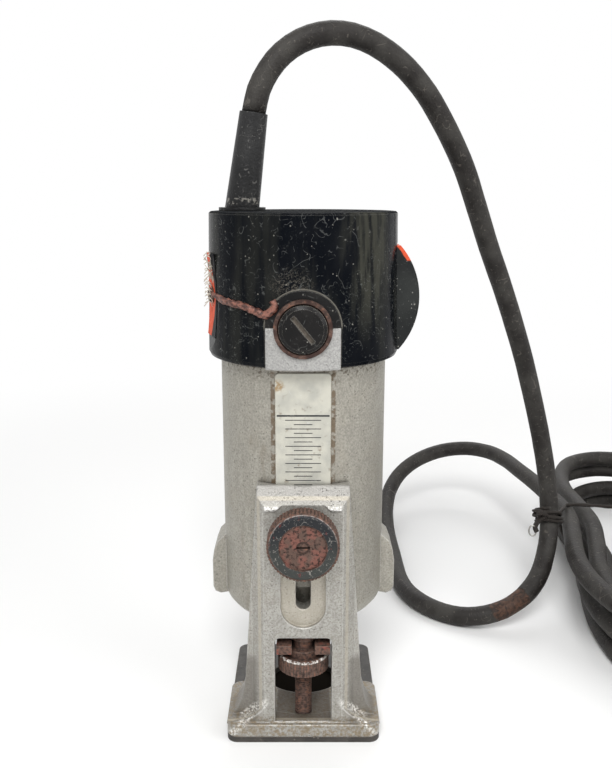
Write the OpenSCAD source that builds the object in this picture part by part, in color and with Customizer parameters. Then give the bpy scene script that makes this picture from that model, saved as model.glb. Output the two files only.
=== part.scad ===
// Laminate trimmer router: a cast motor housing that slides on a base bracket, set by a
// knurled nut on a fixed stud. All sizes in millimetres, Z up.
// Origin: the cutter axis at the underside of the base plate. The bracket faces -Y.

/* [Base plate] */
// Width of the base plate
base_w = 57; // [52:0.5:70]
// Front edge of the base plate, ahead of the cutter axis
base_front = 38; // [36:0.5:42]
// Rear edge of the base plate, behind the cutter axis
base_rear = 28; // [24:0.5:40]
// Thickness of the base plate
base_t = 2.4; // [1.6:0.1:4]
// Corner radius of the base plate
base_corner_r = 4; // [2:0.5:8]
// Radius of the cutter opening
opening_r = 14.3; // [13:0.1:16]
// Radius of each base plate screw
base_screw_r = 1.9; // [1.5:0.1:2.2]

/* [Base bracket] */
// Thickness of the cast foot over the base plate
foot_t = 4.8; // [3.5:0.1:7]
// Depth of the foot from front to back
foot_depth = 29; // [26:0.5:34]
// Height of the column above the floor
column_top = 98.8; // [94:0.2:104]
// Width of the column at its top
column_w_top = 33; // [31:0.5:35]
// Width of the column at its foot
column_w_low = 43; // [39:0.5:45]
// Width of the flat front face of the column
face_w = 28.6; // [26:0.2:30]
// Distance from the cutter axis to the front face
face_y = 36.4; // [36:0.1:38]
// How far the lip stands ahead of the front face
lip_out = 1.2; // [0.6:0.1:2]
// Height of the concave flare between foot and column at the sides
flare_h = 20; // [12:1:26]
// Height of the concave flare in the front face
face_flare_h = 9; // [6:0.5:12]
// Width of the adjuster window
window_w = 21; // [20.4:0.1:23]
// Lower edge of the window
window_low = 7.7; // [7.4:0.1:9]
// Upper edge of the window
window_high = 41.8; // [41.6:0.1:43]
// Width of the lock slot
slot_w = 5.5; // [5.2:0.1:6.5]
// Lower end of the lock slot
slot_low = 52.4; // [50:0.1:56]

/* [Depth adjuster] */
// Distance from the cutter axis to the stud axis
stud_y = 28.5; // [28:0.1:29.2]
// Radius of the threaded depth stud
stud_r = 3.175; // [2.8:0.025:3.4]
// Top of the depth stud
stud_top = 41; // [38:0.5:43]
// Radius of the knurled nut
nut_r = 9.525; // [8.5:0.025:9.8]
// Underside of the knurled nut
nut_low = 26.7; // [26:0.1:28]
// Thickness of the knurled nut
nut_t = 6.1; // [5:0.1:6.5]
// Radius of the nut's neck inside the fork
neck_r = 3.95; // [3.85:0.05:4.4]
// Thickness of the fork
fork_t = 3.3; // [2.5:0.1:3.6]
// Full width of the fork
fork_w = 25; // [24:0.1:26]
// Depth travel of the motor
travel = 15.875; // [10:0.125:15.875]

/* [Lock knob] */
// Height of the lock knob's axis
knob_z = 81.1; // [79.5:0.1:82]
// Radius of the lock knob
knob_r = 12.7; // [11:0.1:13]
// Thickness of the lock knob with its hub
knob_t = 10; // [9:0.1:12]
// Length of the knob's knurled rim
knurl_t = 6.2; // [5:0.1:7]
// Radius of the lock stud
lock_stud_r = 2.38; // [2:0.02:2.5]
// Radius of the washer under the knob
washer_r = 7.8; // [7:0.1:8]

/* [Motor housing] */
// Radius of the housing
housing_r = 31; // [30:0.1:31.5]
// Wall of the housing
housing_wall = 3.4; // [2.5:0.1:3.6]
// Joint between housing and end cap
housing_top = 141; // [138:0.2:144]
// Underside of the housing's floor
dome_low = 33; // [32:0.1:33.6]
// Height at which the dome begins
dome_top = 48; // [46.5:0.1:49]
// Radius of the bearing boss under the dome
dome_low_r = 14.5; // [14.2:0.1:16]
// How far the bearing boss stands below the dome
boss_h = 6.2; // [5.8:0.1:6.6]
// Distance from the axis to the flat behind the scale plate
flat_y = 29.1; // [28.8:0.1:29.4]
// Reach of the side ears from the axis
ear_x = 35.6; // [34:0.1:38]
// Width of each side ear from front to back
ear_w = 15; // [12:0.5:18]
// Underside of the ears
ear_low = 45.4; // [42:0.1:47]
// Top of the ears
ear_high = 70.5; // [66:0.5:80]
// Top of the scale plate
scale_top = 139; // [134:0.5:140]
// Length of the scale plate
scale_len = 42; // [38:0.5:46]
// Width of the scale plate
scale_w = 19.7; // [17:0.1:20.2]

/* [End cap] */
// Radius of the end cap at its rim
cap_r_low = 35.5; // [35:0.1:36.5]
// Radius of the end cap at its top
cap_r_top = 34.5; // [34:0.1:36]
// Top of the end cap
cap_top = 193.5; // [192:0.5:198]
// Wall of the end cap
cap_wall = 3; // [2.5:0.1:3.4]
// Height of the brush axis
brush_z = 155.4; // [154.5:0.1:156]
// Half width of the brush arch
arch_r = 13; // [12:0.1:13.6]
// Radius of the brush ring
brush_ring_r = 10; // [9:0.1:10.5]
// Radius of the brush cap
brush_cap_r = 8.2; // [7:0.1:8.6]

/* [Switch] */
// Height of the paddle's pivot
paddle_z = 162.5; // [161.5:0.1:164]
// Length of the paddle
paddle_len = 38; // [34:0.5:38]
// Width of the paddle
paddle_w = 16; // [12:0.5:17]
// Furthest reach of the paddle from the axis
paddle_x = 42.4; // [40:0.1:44]

/* [Motor] */
// Radius of the armature
armature_r = 14.9; // [13:0.1:15]
// Underside of the stator
stator_low = 72; // [70:0.5:74]
// Length of the stator
stator_len = 46; // [40:0.5:50]
// Radius of the shaft
shaft_r = 4; // [3.5:0.05:4.2]
// Outer radius of both bearings
bearing_r = 11; // [10.5:0.1:11.5]
// Thickness of both bearings
bearing_t = 7; // [6:0.1:7]
// Radius of the cutter shank that the collet takes
collet_bore_r = 3.175; // [3:0.025:3.2]
// Lowest point of the collet nut
collet_nut_low = 16.6; // [16.5:0.1:17.5]
// Width of each carbon brush
brush_w = 6; // [5:0.1:6.2]
// Height of each carbon brush
brush_h = 8; // [7:0.1:8.2]
// Length of each carbon brush
brush_len = 15; // [13:0.5:16]
// Radius of the brush springs
spring_r = 3; // [2.6:0.1:3.4]

/* [Cord] */
// Diameter of the cord
cord_d = 8.8; // [7:0.1:9]
// Centre of the relief's foot, to the side of the axis
relief_x = -23; // [-24:0.5:-21]
// Centre of the relief's foot, behind the axis
relief_y = 9; // [5:0.5:10]
// Length of the strain relief sleeve
relief_len = 34.5; // [34:0.5:40]
// Radius of the strain relief at its foot
relief_r_low = 6.5; // [6:0.1:6.6]
// Radius of the strain relief at its tip
relief_r_top = 5.2; // [5:0.1:5.5]
// Sideways lean of the strain relief in degrees
relief_lean = 8; // [6:0.5:9]
// Number of loops in the hank
hank_loops = 4; // [4:1:4]
// Length of the hank's straight runs
hank_run = 150; // [132:2:160]
// Bend radius of the innermost fold
hank_fold_r = 30.5; // [29:0.5:32]
// Sideways step from one strand to the next
hank_step = 11; // [10.4:0.1:11.4]
// Height of one layer of the hank
layer_step = 9.3; // [9.2:0.1:10]
// How far the waist is drawn in by the tie
waist_draw = 12; // [8:0.5:12]

/* [Hidden] */
$fn = 96;

gap = 0.3;               // between pieces that move past each other
running = 0.06;          // radial clearance of a shaft in its bore
seat = 0.02;             // radial clearance of a fixed pin in its hole
bite = 1;                // how far a cutting solid passes a face

foot_top = base_t + foot_t;
sink = 0.3;              // depth of the base screws' heads below the plate
face_edge = face_w / 2;
lip_y = face_y + lip_out;
column_back_r = housing_r + 0.5;
knob_recess_r = knob_r + 1.5;
recess_depth = 1.6;
recess_low = slot_low + 1.6;
lip_drop = 6.8;
lip_taper = 26;
washer_t = 1.0;
stud_hole_r = opening_r + 2.7;
base_screw_x = base_w / 2 - 7;
base_screw_ys = [-base_front + 6, -base_front + foot_depth - 7];

nut_shoulder_t = 2.2;
nut_shoulder_z = nut_low + nut_t;
fork_z = nut_shoulder_z + nut_shoulder_t + gap;
flange_z = fork_z + fork_t + gap;
flange_t = 2.4;
flange_r = 5.5;
fork_slot_r = neck_r + gap;
fork_front = stud_y + nut_r - 1.5;
fork_back = 16;
notch_half = fork_w / 2 + 0.5;
fork_screw_x = 9.3;
fork_screw_y = 20;
fork_screw_r = 1.4;
pocket_r = flange_r + gap;
groove_r = stud_r + 0.6;

inner_r = housing_r - housing_wall;
floor_top = dome_low + 11;
floor_bevel = 3;
tab_r = cap_r_low + 0.1;
spigot_h = 5;
cap_inner_r = cap_r_top - cap_wall;
top_plate = 4;
boss_low = cap_top - 25.5;
upper_bearing_z = cap_top - 23.5;
lower_bearing_z = dome_low + 1.6;
shaft_top = upper_bearing_z + bearing_t + 1;
retainer_t = 1.6;

scoop_turn = 17;
scoop_z = 164;
scoop_half = 17;
scoop_depth = 1.12;
scoop_r = (scoop_half * scoop_half + scoop_depth * scoop_depth) / (2 * scoop_depth);
scoop_axis = cap_r_low - 0.4 - scoop_depth + scoop_r;
label_t = 0.3;

tube_r = 6.5;
tube_bore_r = 5.3;
ring_t = 2.4;
ring_back = tab_r - 1.3;
commutator_r = 9.5;
commutator_low = brush_z - 8;
commutator_len = 16;
brush_start = commutator_r + gap;
spring_wire = 0.8;

pivot_x = 32;
pivot_r = 1.5;
paddle_half = paddle_len / 2;
paddle_bulge = paddle_x - cap_r_low + 0.3;
paddle_arc_r = (paddle_half * paddle_half + paddle_bulge * paddle_bulge) / (2 * paddle_bulge);
paddle_inner_x = 29.8;
switch_x = [17, 27.6];
switch_low = paddle_z - 15;
switch_high = boss_low + 7;

fan_z = floor_top + 3;
fan_r = 21;
fan_disc_t = 1.6;
fan_blade_h = 7;
coil_r = [16.6, 24];
coil_over = 5;
nose_r = 8;
nose_low = collet_nut_low + 5.4;
nose_top = lower_bearing_z - 0.6;
collet_r = 6;
nut_flats = 19.05;
nut_height = 14.4;

relief_foot = [relief_x, relief_y, cap_top + 1];
relief_dir = [sin(relief_lean), 0, cos(relief_lean)];
cord_exit = relief_foot + relief_len * relief_dir;
cord_r = cord_d / 2;

// Route of the cord from the relief, over the top and down to the tie
lead_points = [
    [-16.3, 9.4, 236.6], [-12.7, 10.2, 243.6], [-7.5, 11.3, 249.6], [-1, 12.7, 254],
    [6.3, 14.4, 256.6], [14.2, 16.4, 257.3], [22.5, 19, 255.8], [31, 22, 252], [39.5, 25.5, 246],
    [48, 30, 237.5], [57, 36, 225], [66, 43, 210], [73.3, 50, 194], [80.5, 56, 177],
    [88.3, 62, 160], [96, 68, 142], [103.5, 74, 123], [110.2, 79, 103], [115.8, 81, 83],
    [119.7, 79.5, 62], [120.5, 74, 42]
];
// Route of the loose loop that lies on the floor between the tie and the hank
loop_points = [
    [117.5, 66, 30], [110.8, 55.7, 20.3], [100.9, 48.8, 13], [89.3, 46, 8.2], [77.4, 47.6, 5.4],
    [66.4, 53.4, 4.4], [57.7, 62.8, 4.4], [52, 75, 4.4], [49.6, 88, 4.4], [49, 104, 4.4],
    [49, 120, 4.5], [48.7, 137, 5.2], [48.7, 154, 7.8], [50, 171, 12.5], [54, 186.5, 18.5],
    [62, 199.5, 25], [74.5, 208.5, 31], [90, 212.3, 35.5], [104.9, 209, 38], [117, 199.3, 38.7],
    [124, 184, 38.5], [128, 166, 38], [131.5, 149, 37.5], [134.8, 131, 36.5]
];
// Route of the tail from the hank to the plug
tail_points = [
    [144.5, 81, 5.4], [139.7, 61, 4.6], [136.8, 41, 4.4], [136.8, 20, 4.4], [139.8, 0, 4.4],
    [144.2, -20, 5.5], [147.3, -38, 9], [148.9, -52, 12.5], [149.3, -60, 13]
];

hank_centre = [173.5, 98];
hank_turn = -8;
hank_bow_r = 250;
hank_lean = 0.41;
waist_lift = 2.2;
waist_reach = 66;
rings_per_loop = 24;
hank_sides = 6;
cord_sides = 8;
loop_len = 2 * hank_run + 360 * (hank_fold_r + hank_step / 2) * PI / 180;
run_share = hank_run / 2 / loop_len;
arc_share = 0.5 - 2 * run_share;

function unit(v) = v / norm(v);
function ease(u) = let (c = max(0, min(1, u))) c * c * (3 - 2 * c);
function swell(y, reach) = abs(y) < reach ? (1 + cos(180 * y / reach)) / 2 : 0;

// One loop of the hank as a long oval, entered at the middle of the left run
function oval(p, r) = let (a = hank_run / 2)
    p < run_share ? [-r, -a * p / run_share] :
    p < run_share + arc_share ? let (q = 180 + 180 * (p - run_share) / arc_share)
        [r * cos(q), -a + r * sin(q)] :
    p < 1 - run_share - arc_share ? [r, a * (p - 0.5) / run_share] :
    p < 1 - run_share ? let (q = 180 * (p - 1 + run_share + arc_share) / arc_share)
        [r * cos(q), a + r * sin(q)] :
    [-r, a * (1 - p) / run_share];

// Layers are laid from the top down, with each step down along a run
function layers_down(t) = let (k = round(t))
    k < 1 ? 0 : k > hank_loops - 1 ? hank_loops - 1 : k - 1 + ease((t - k) * 2 + 0.5);

function hank_point(t) =
    let (
        lap = min(floor(t), hank_loops - 1),
        part = t - lap,
        inward = lap % 2 == 0 ? 1 - part : part,
        flat = oval(part < 1 ? part : 0, hank_fold_r + hank_step * inward),
        pinch = waist_draw * swell(flat[1], waist_reach),
        z = cord_r + layer_step * (hank_loops - 1 - layers_down(t)),
        mid = cord_r + layer_step * (hank_loops - 1) / 2,
        across = hank_bow_r - flat[0] + sign(flat[0]) * pinch + hank_lean * (z - mid),
        bend = flat[1] / hank_bow_r * 180 / PI,
        x = hank_bow_r - across * cos(bend),
        y = across * sin(bend)
    )
    [
        hank_centre[0] + x * cos(hank_turn) - y * sin(hank_turn),
        hank_centre[1] + x * sin(hank_turn) + y * cos(hank_turn),
        z + waist_lift * swell(flat[1], waist_reach)
    ];

hank_points = [
    for (i = [0 : hank_loops * rings_per_loop]) hank_point(i / rings_per_loop)
];
cord_points = concat([cord_exit], lead_points, loop_points, hank_points, tail_points);
tie_ring = len(lead_points);
hank_ring = tie_ring + len(loop_points) + 1;

// The heading of the cord at one ring, square to the relief and to the plug at its ends
function heading(i) =
    i == 0 ? relief_dir :
    i == len(cord_points) - 1 ? [0, -1, 0] :
    unit(cord_points[i + 1] - cord_points[i - 1]);

// Carries the ring's side direction along the cord without twist
function carried(i, side) = let (t = heading(i), s = unit(side - (side * t) * t))
    i == len(cord_points) - 1 ? [s] : concat([s], carried(i + 1, s));
ring_side = carried(0, [0, 1, 0]);

function ring_points(centre, t, s, r, sides) = let (u = cross(t, s))
    [for (k = [0 : sides - 1]) let (q = 360 * k / sides) centre + r * (cos(q) * s + sin(q) * u)];

function side_faces(rings, sides, closed) = [
    for (i = [0 : rings - (closed ? 1 : 2)]) for (k = [0 : sides - 1])
    let (
        a = i * sides + k,
        b = i * sides + (k + 1) % sides,
        j = ((i + 1) % rings) * sides,
        c = j + (k + 1) % sides,
        d = j + k
    )
    for (f = [[a, c, b], [a, d, c]]) f
];

// A piece of the cord from ring a to ring b
module cord_piece(a, b, sides) {
    count = b - a + 1;
    points = [
        for (i = [a : b])
        each ring_points(cord_points[i], heading(i), ring_side[i], cord_r, sides)
    ];
    start_cap = [for (k = [1 : sides - 2]) [0, k, k + 1]];
    last = (count - 1) * sides;
    end_cap_faces = [for (k = [1 : sides - 2]) [last, last + k + 1, last + k]];
    polyhedron(points, concat(side_faces(count, sides, false), start_cap, end_cap_faces));
}

function gap_between(i, j) = norm(hank_points[i] - hank_points[j]) - cord_d;
near_apart = 6;
hank_least_gap = min([
    for (i = [0 : len(hank_points) - 1]) for (j = [i + near_apart : 1 : len(hank_points) - 1])
    gap_between(i, j)
]);
cord_length = norm(cord_points[0] - cord_points[1]) + len_along(1, 0);
function len_along(i, sum) = i == len(cord_points) - 1 ? sum :
    len_along(i + 1, sum + norm(cord_points[i + 1] - cord_points[i]));
echo(hank_least_gap = hank_least_gap, cord_length = cord_length);

module slab(x, y0, y1, z0, z1) {
    translate([-x, y0, z0]) cube([2 * x, y1 - y0, z1 - z0]);
}

module along_y(y0, y1, r) {
    translate([0, y0, 0]) rotate([-90, 0, 0]) cylinder(h = y1 - y0, r = r);
}

module rounded_plate(front, rear, w, r) {
    translate([-w / 2 + r, -front]) square([w - 2 * r, front + rear]);
    translate([-w / 2, -front + r]) square([w, front + rear - 2 * r]);
    for (x = [-w / 2 + r, w / 2 - r]) for (y = [-front + r, rear - r]) {
        translate([x, y]) circle(r = r);
    }
}

module base_screw_places() {
    for (x = [-base_screw_x, base_screw_x]) for (y = base_screw_ys) {
        translate([x, y, 0]) children();
    }
}

module base_screw(extra, top) {
    cylinder(h = base_screw_r, r1 = 2 * base_screw_r + extra, r2 = base_screw_r + extra);
    cylinder(h = top, r = base_screw_r + extra);
}

module sub_base() {
    color([0.13, 0.13, 0.13]) difference() {
        linear_extrude(base_t) rounded_plate(base_front, base_rear, base_w, base_corner_r);
        translate([0, 0, -bite]) cylinder(h = base_t + 2 * bite, r = opening_r);
        base_screw_places() translate([0, 0, sink]) base_screw(seat, base_t + bite);
        base_screw_places() translate([0, 0, -bite]) {
            cylinder(h = bite + sink + 0.01, r = 2 * base_screw_r + seat);
        }
    }
}

module sub_base_screws() {
    color([0.42, 0.38, 0.34]) base_screw_places() difference() {
        translate([0, 0, sink]) base_screw(-seat, foot_top - 1.2 - sink);
        translate([-3 * base_screw_r, -0.4, -bite]) {
            cube([6 * base_screw_r, 0.8, bite + sink + 0.7]);
        }
    }
}

// Front view of the column with the concave flares down to the foot
module column_front(low, rise) {
    high = column_w_top / 2;
    run = base_w / 2 - low;
    bend_z = (window_low + window_high) / 2;
    polygon([
        [-low, foot_top], [-low, bend_z], [-high, column_top],
        [high, column_top], [low, bend_z], [low, foot_top]
    ]);
    for (m = [0, 1]) mirror([m, 0]) difference() {
        translate([low - 0.5, foot_top - 0.5]) square([run + 0.5, rise]);
        translate([low + run, foot_top + rise]) scale([run / rise, 1]) {
            circle(r = rise, $fn = 64);
        }
    }
}

module column_blank() {
    bevel = 4.6;
    intersection() {
        translate([0, -20, 0]) rotate([90, 0, 0]) linear_extrude(lip_y) {
            column_front(column_w_low / 2, flare_h);
        }
        linear_extrude(column_top) polygon([
            [-base_w / 2, -20], [-base_w / 2, -face_y + bevel + 1],
            [-face_edge - bevel, -face_y + bevel], [-face_edge, -face_y],
            [face_edge, -face_y], [face_edge + bevel, -face_y + bevel],
            [base_w / 2, -face_y + bevel + 1], [base_w / 2, -20]
        ]);
    }
    translate([0, 0, foot_top - 0.5]) intersection() {
        translate([0, -24, -foot_top + 0.5]) rotate([90, 0, 0]) {
            linear_extrude(face_y - 24.1) column_front(face_edge - 0.2, face_flare_h);
        }
        slab(base_w / 2, -face_y - 1, -24, 0, face_flare_h + 1);
    }
}

module bracket_lip() {
    low_z = column_top - 8.4;
    top_front = column_top - lip_drop;
    half = column_w_top / 2;
    difference() {
        translate([-half, 0, 0]) rotate([90, 0, 90]) linear_extrude(2 * half) polygon([
            [-face_y + 1, low_z], [-face_y, low_z], [-lip_y, low_z + lip_out], [-lip_y, top_front],
            [-column_back_r, column_top], [-face_y + 4, low_z]
        ]);
        for (m = [0, 1]) mirror([m, 0, 0]) {
            translate([half, -column_back_r, low_z - bite]) rotate([0, 0, -lip_taper]) {
                translate([0, -12, 0]) cube([8, 20, 20]);
            }
        }
    }
}

module base_bracket() {
    color([0.66, 0.64, 0.6]) difference() {
        union() {
            translate([0, 0, base_t]) linear_extrude(foot_t) {
                rounded_plate(base_front, foot_depth - base_front, base_w, base_corner_r);
            }
            column_blank();
            bracket_lip();
        }
        // clearance for the housing, with a land that rides on its flat
        difference() {
            translate([0, 0, foot_top]) cylinder(h = column_top, r = column_back_r);
            slab(window_w / 2 - 0.4, -column_back_r - 1, -flat_y - gap, window_high, 80);
        }
        // cutter opening
        translate([0, 0, base_t - bite]) cylinder(h = foot_t + 2 * bite, r = stud_hole_r);
        // sloped top behind the lip
        translate([-30, -lip_y, column_top - lip_drop]) {
            rotate([atan(lip_drop / (lip_y - column_back_r)), 0, 0]) {
                translate([0, -4, 0.01]) cube([60, 16, 12]);
            }
        }
        // adjuster window
        slab(window_w / 2, -base_front - bite, -20, window_low, window_high - 2);
        slab(window_w / 2 - 2, -base_front - bite, -20, window_high - 3, window_high);
        for (x = [-window_w / 2 + 2, window_w / 2 - 2]) {
            translate([x, 0, window_high - 2]) along_y(-base_front - bite, -20, 2);
        }
        // relief around the knurled nut
        translate([0, -stud_y, nut_low - 1.5]) cylinder(h = nut_t + 4, r = nut_r + 1.1);
        // lock slot with its washer recess and the knob's counterbore
        slab(slot_w / 2, -lip_y - bite, -20, slot_low + slot_w / 2, knob_z + 6);
        translate([0, 0, slot_low + slot_w / 2]) along_y(-lip_y - bite, -20, slot_w / 2);
        translate([0, 0, knob_z + 6]) along_y(-lip_y - bite, -20, slot_w / 2);
        slab(washer_r + 0.4, -lip_y - bite, -face_y + recess_depth, recess_low, knob_z);
        translate([0, 0, recess_low]) {
            along_y(-lip_y - bite, -face_y + recess_depth, washer_r + 0.4);
        }
        translate([0, 0, knob_z]) along_y(-lip_y - bite, -face_y + recess_depth, washer_r + 0.4);
        translate([0, 0, knob_z]) along_y(-lip_y - bite, -face_y, knob_recess_r);
        // stud hole and plate screw holes
        translate([0, -stud_y, base_t - bite]) {
            cylinder(h = window_low - base_t + 2 * bite, r = stud_r + seat);
        }
        base_screw_places() cylinder(h = foot_top - 1, r = base_screw_r);
    }
}

module depth_stud() {
    chamfer = 0.8;
    color([0.42, 0.28, 0.22]) translate([0, -stud_y, base_t + 0.1]) {
        cylinder(h = stud_top - base_t - chamfer, r = stud_r);
        translate([0, 0, stud_top - base_t - chamfer]) {
            cylinder(h = chamfer - 0.1, r1 = stud_r, r2 = stud_r - chamfer);
        }
    }
}

module knurl(r, h, teeth) {
    width = PI * r / teeth;
    for (k = [0 : teeth - 1]) rotate([0, 0, 360 * k / teeth]) {
        translate([r, 0, -bite]) rotate([0, 0, 45]) {
            translate([-width / 2, -width / 2, 0]) cube([width, width, h + 2 * bite]);
        }
    }
}

module adjusting_nut() {
    color([0.45, 0.36, 0.32]) translate([0, -stud_y, 0]) difference() {
        union() {
            translate([0, 0, nut_low]) difference() {
                cylinder(h = nut_t, r = nut_r);
                translate([0, 0, nut_t - 0.8]) difference() {
                    cylinder(h = 1, r = nut_r - 1.2);
                    translate([0, 0, -1]) cylinder(h = 3, r = nut_r - 3.2);
                }
                knurl(nut_r + 0.2, nut_t, 48);
            }
            translate([0, 0, nut_shoulder_z - 0.01]) {
                cylinder(h = nut_shoulder_t + 0.01, r = nut_r - 3.2);
            }
            translate([0, 0, nut_shoulder_z]) {
                cylinder(h = flange_z - nut_shoulder_z, r = neck_r);
            }
            translate([0, 0, flange_z]) cylinder(h = flange_t, r = flange_r);
        }
        translate([0, 0, nut_low - bite]) {
            cylinder(h = flange_z + flange_t - nut_low + 2 * bite, r = stud_r + running);
        }
    }
}

module adjuster_fork() {
    color([0.44, 0.33, 0.28]) difference() {
        union() {
            slab(nut_r + 0.3, -fork_front, -fork_back, fork_z, fork_z + fork_t);
            slab(fork_w / 2, -fork_screw_y - 3.5, -fork_back, fork_z, fork_z + fork_t);
        }
        translate([0, -stud_y, fork_z - bite]) cylinder(h = fork_t + 2 * bite, r = fork_slot_r);
        slab(fork_slot_r, -fork_front - bite, -stud_y, fork_z - bite, fork_z + fork_t + bite);
        for (x = [-fork_screw_x, fork_screw_x]) translate([x, -fork_screw_y, fork_z - bite]) {
            cylinder(h = fork_t + 2 * bite, r = fork_screw_r + seat);
        }
    }
}

module fork_screws() {
    head_t = 1.6;
    color([0.5, 0.45, 0.4]) for (x = [-fork_screw_x, fork_screw_x]) {
        translate([x, -fork_screw_y, fork_z - head_t]) difference() {
            union() {
                cylinder(h = head_t, r = 2.4);
                cylinder(h = head_t + fork_t + 4.5, r = fork_screw_r);
            }
            translate([-3, -0.4, -bite]) cube([6, 0.8, bite + 0.8]);
        }
    }
}

module at_knob() {
    translate([0, 0, knob_z]) rotate([90, 0, 0]) children();
}

knob_back = face_y - recess_depth + gap + washer_t + 0.1;

module lock_knob() {
    collar_t = knob_t - knurl_t;
    body_t = knurl_t;
    color([0.16, 0.14, 0.13]) at_knob() translate([0, 0, knob_back]) difference() {
        union() {
            cylinder(h = collar_t + 0.01, r = washer_r - 1);
            translate([0, 0, collar_t]) difference() {
                cylinder(h = body_t - 1, r = knob_r);
                knurl(knob_r + 0.15, body_t, 60);
            }
            translate([0, 0, collar_t + body_t - 1.01]) {
                cylinder(h = 1.01, r1 = knob_r - 0.5, r2 = knob_r - 1.4);
            }
        }
        translate([0, 0, collar_t + body_t - 0.6]) cylinder(h = 2, r = 8.35);
        translate([0, 0, -bite]) cylinder(h = knob_t + 2 * bite, r = lock_stud_r + seat);
    }
}

lock_stud_back = flat_y - 4.2;

module lock_stud() {
    tip = knob_back + knob_t - 0.7;
    color([0.5, 0.42, 0.36]) at_knob() difference() {
        translate([0, 0, lock_stud_back]) cylinder(h = tip - lock_stud_back, r = lock_stud_r);
        translate([-5, -0.35, tip - 0.9]) cube([10, 0.7, 2]);
    }
}

module lock_washer() {
    color([0.5, 0.47, 0.44]) at_knob() translate([0, 0, face_y - recess_depth + gap]) {
        difference() {
            cylinder(h = washer_t, r = washer_r);
            translate([0, 0, -bite]) cylinder(h = 4, r = lock_stud_r + running);
        }
    }
}

// Half section of the housing: dome, body and the top edge
module housing_profile() {
    steps = 6;
    polygon(concat(
        [[0, dome_low], [dome_low_r, dome_low]],
        [for (i = [0 : steps]) let (q = 90 * i / steps) [
            dome_low_r + (housing_r - dome_low_r) * sin(q),
            dome_top - (dome_top - dome_low - boss_h) * cos(q)
        ]],
        [[housing_r, housing_top], [0, housing_top]]
    ));
}

module ear_blank() {
    round_r = 3;
    translate([-ear_w / 2, 0, 0]) rotate([90, 0, 90]) linear_extrude(ear_w) {
        polygon([
            [22, ear_low + 2], [ear_x - round_r, ear_low], [ear_x - 0.8, ear_low + 0.9],
            [ear_x, ear_low + round_r], [ear_x, ear_high - 11], [ear_x - 0.6, ear_high - 7],
            [ear_x - 2, ear_high - 3.4], [housing_r - 1, ear_high], [22, ear_high]
        ]);
    }
}

module bearing_seat_cut() {
    translate([0, 0, lower_bearing_z]) cylinder(h = 30, r = bearing_r + seat);
    translate([0, 0, dome_low - bite]) cylinder(h = 30, r = nose_r + 0.6);
}

module brush_tab(side) {
    half = arch_r - 0.1;
    intersection() {
        translate([0, 0, housing_top - 0.01]) difference() {
            cylinder(h = brush_z - housing_top, r = tab_r);
            translate([0, 0, -bite]) cylinder(h = 60, r = inner_r);
        }
        translate([-half, side > 0 ? 20 : -40, housing_top - bite]) cube([2 * half, 20, 40]);
    }
}

module brush_holes() {
    for (m = [0, 1]) mirror([0, m, 0]) translate([0, 0, brush_z]) {
        along_y(-tab_r - 5, -20, tube_r + seat);
        along_y(-tab_r - 5, -ring_back, brush_ring_r + seat);
    }
}

module motor_housing() {
    color([0.69, 0.67, 0.62]) difference() {
        union() {
            difference() {
                union() {
                    rotate_extrude() housing_profile();
                    rotate([0, 0, 90]) ear_blank();
                    rotate([0, 0, -90]) ear_blank();
                    // pad that the fork is screwed to
                    slab(notch_half - 1, -stud_y + 1.5, -fork_back + bite, fork_z, floor_top - 0.5);
                }
                // motor cavity, with a thick rib behind the depth stud
                difference() {
                    union() {
                        translate([0, 0, floor_top]) {
                            cylinder(h = floor_bevel + 0.01, r1 = inner_r - floor_bevel, r2 = inner_r);
                        }
                        translate([0, 0, floor_top + floor_bevel]) cylinder(h = 200, r = inner_r);
                    }
                    slab(groove_r + 2.4, -40, -22.4, floor_top - bite, 64);
                    slab(6, -40, -inner_r + 5.5, knob_z - 8, knob_z + 8);
                }
                // flat for the scale plate and the bracket's land
                slab(11, -40, -flat_y, dome_low - bite, housing_top + 0.001);
            }
            translate([0, 0, housing_top - 0.01]) difference() {
                cylinder(h = spigot_h, r = cap_inner_r - 0.4);
                translate([0, 0, -bite]) cylinder(h = 20, r = inner_r);
            }
            brush_tab(-1);
            brush_tab(1);
        }
        bearing_seat_cut();
        brush_holes();
        // notch under the dome for the fork, pocket and groove for the nut and stud
        slab(notch_half, -40, -fork_back + 0.5, dome_low - bite, fork_z + fork_t);
        translate([0, -stud_y, dome_low - bite]) {
            cylinder(h = flange_z + flange_t + 0.6 - dome_low + bite, r = pocket_r);
            cylinder(h = stud_top + travel + 1.5 - dome_low + bite, r = groove_r);
        }
        slab(groove_r, -40, -stud_y, dome_low - bite, stud_top + travel);
        for (x = [-fork_screw_x, fork_screw_x]) translate([x, -fork_screw_y, fork_z]) {
            cylinder(h = fork_t + 5, r = fork_screw_r + seat);
        }
        // tapped hole for the lock stud
        translate([0, 0, knob_z]) along_y(-40, -lock_stud_back + 0.6, lock_stud_r + running);
        // air outlets at the back of the fan chamber
        for (q = [-40, -20, 0, 20, 40]) rotate([0, 0, 90 + q]) {
            translate([inner_r - 4, -1.5, fan_z + 1.6]) cube([12, 3, 9]);
        }
        // screw holes for the end cap
        cap_screw_places() translate([0, 0, housing_top - 12]) {
            cylinder(h = 20, r = 1.2 + seat);
        }
        // room for the paddle's lower end inside the spigot
        translate([inner_r - 2 * bite, -paddle_w / 2 - bite, housing_top + 0.2]) {
            cube([housing_r, paddle_w + 2 * bite, spigot_h]);
        }
    }
}

module scale_plate() {
    r = 1.5;
    t = 0.5;
    low = scale_top - scale_len;
    color([0.75, 0.76, 0.74]) translate([0, -flat_y, 0]) rotate([90, 0, 0]) linear_extrude(t) {
        translate([0, low]) rounded_plate(0, scale_len, scale_w, r);
    }
}

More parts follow.
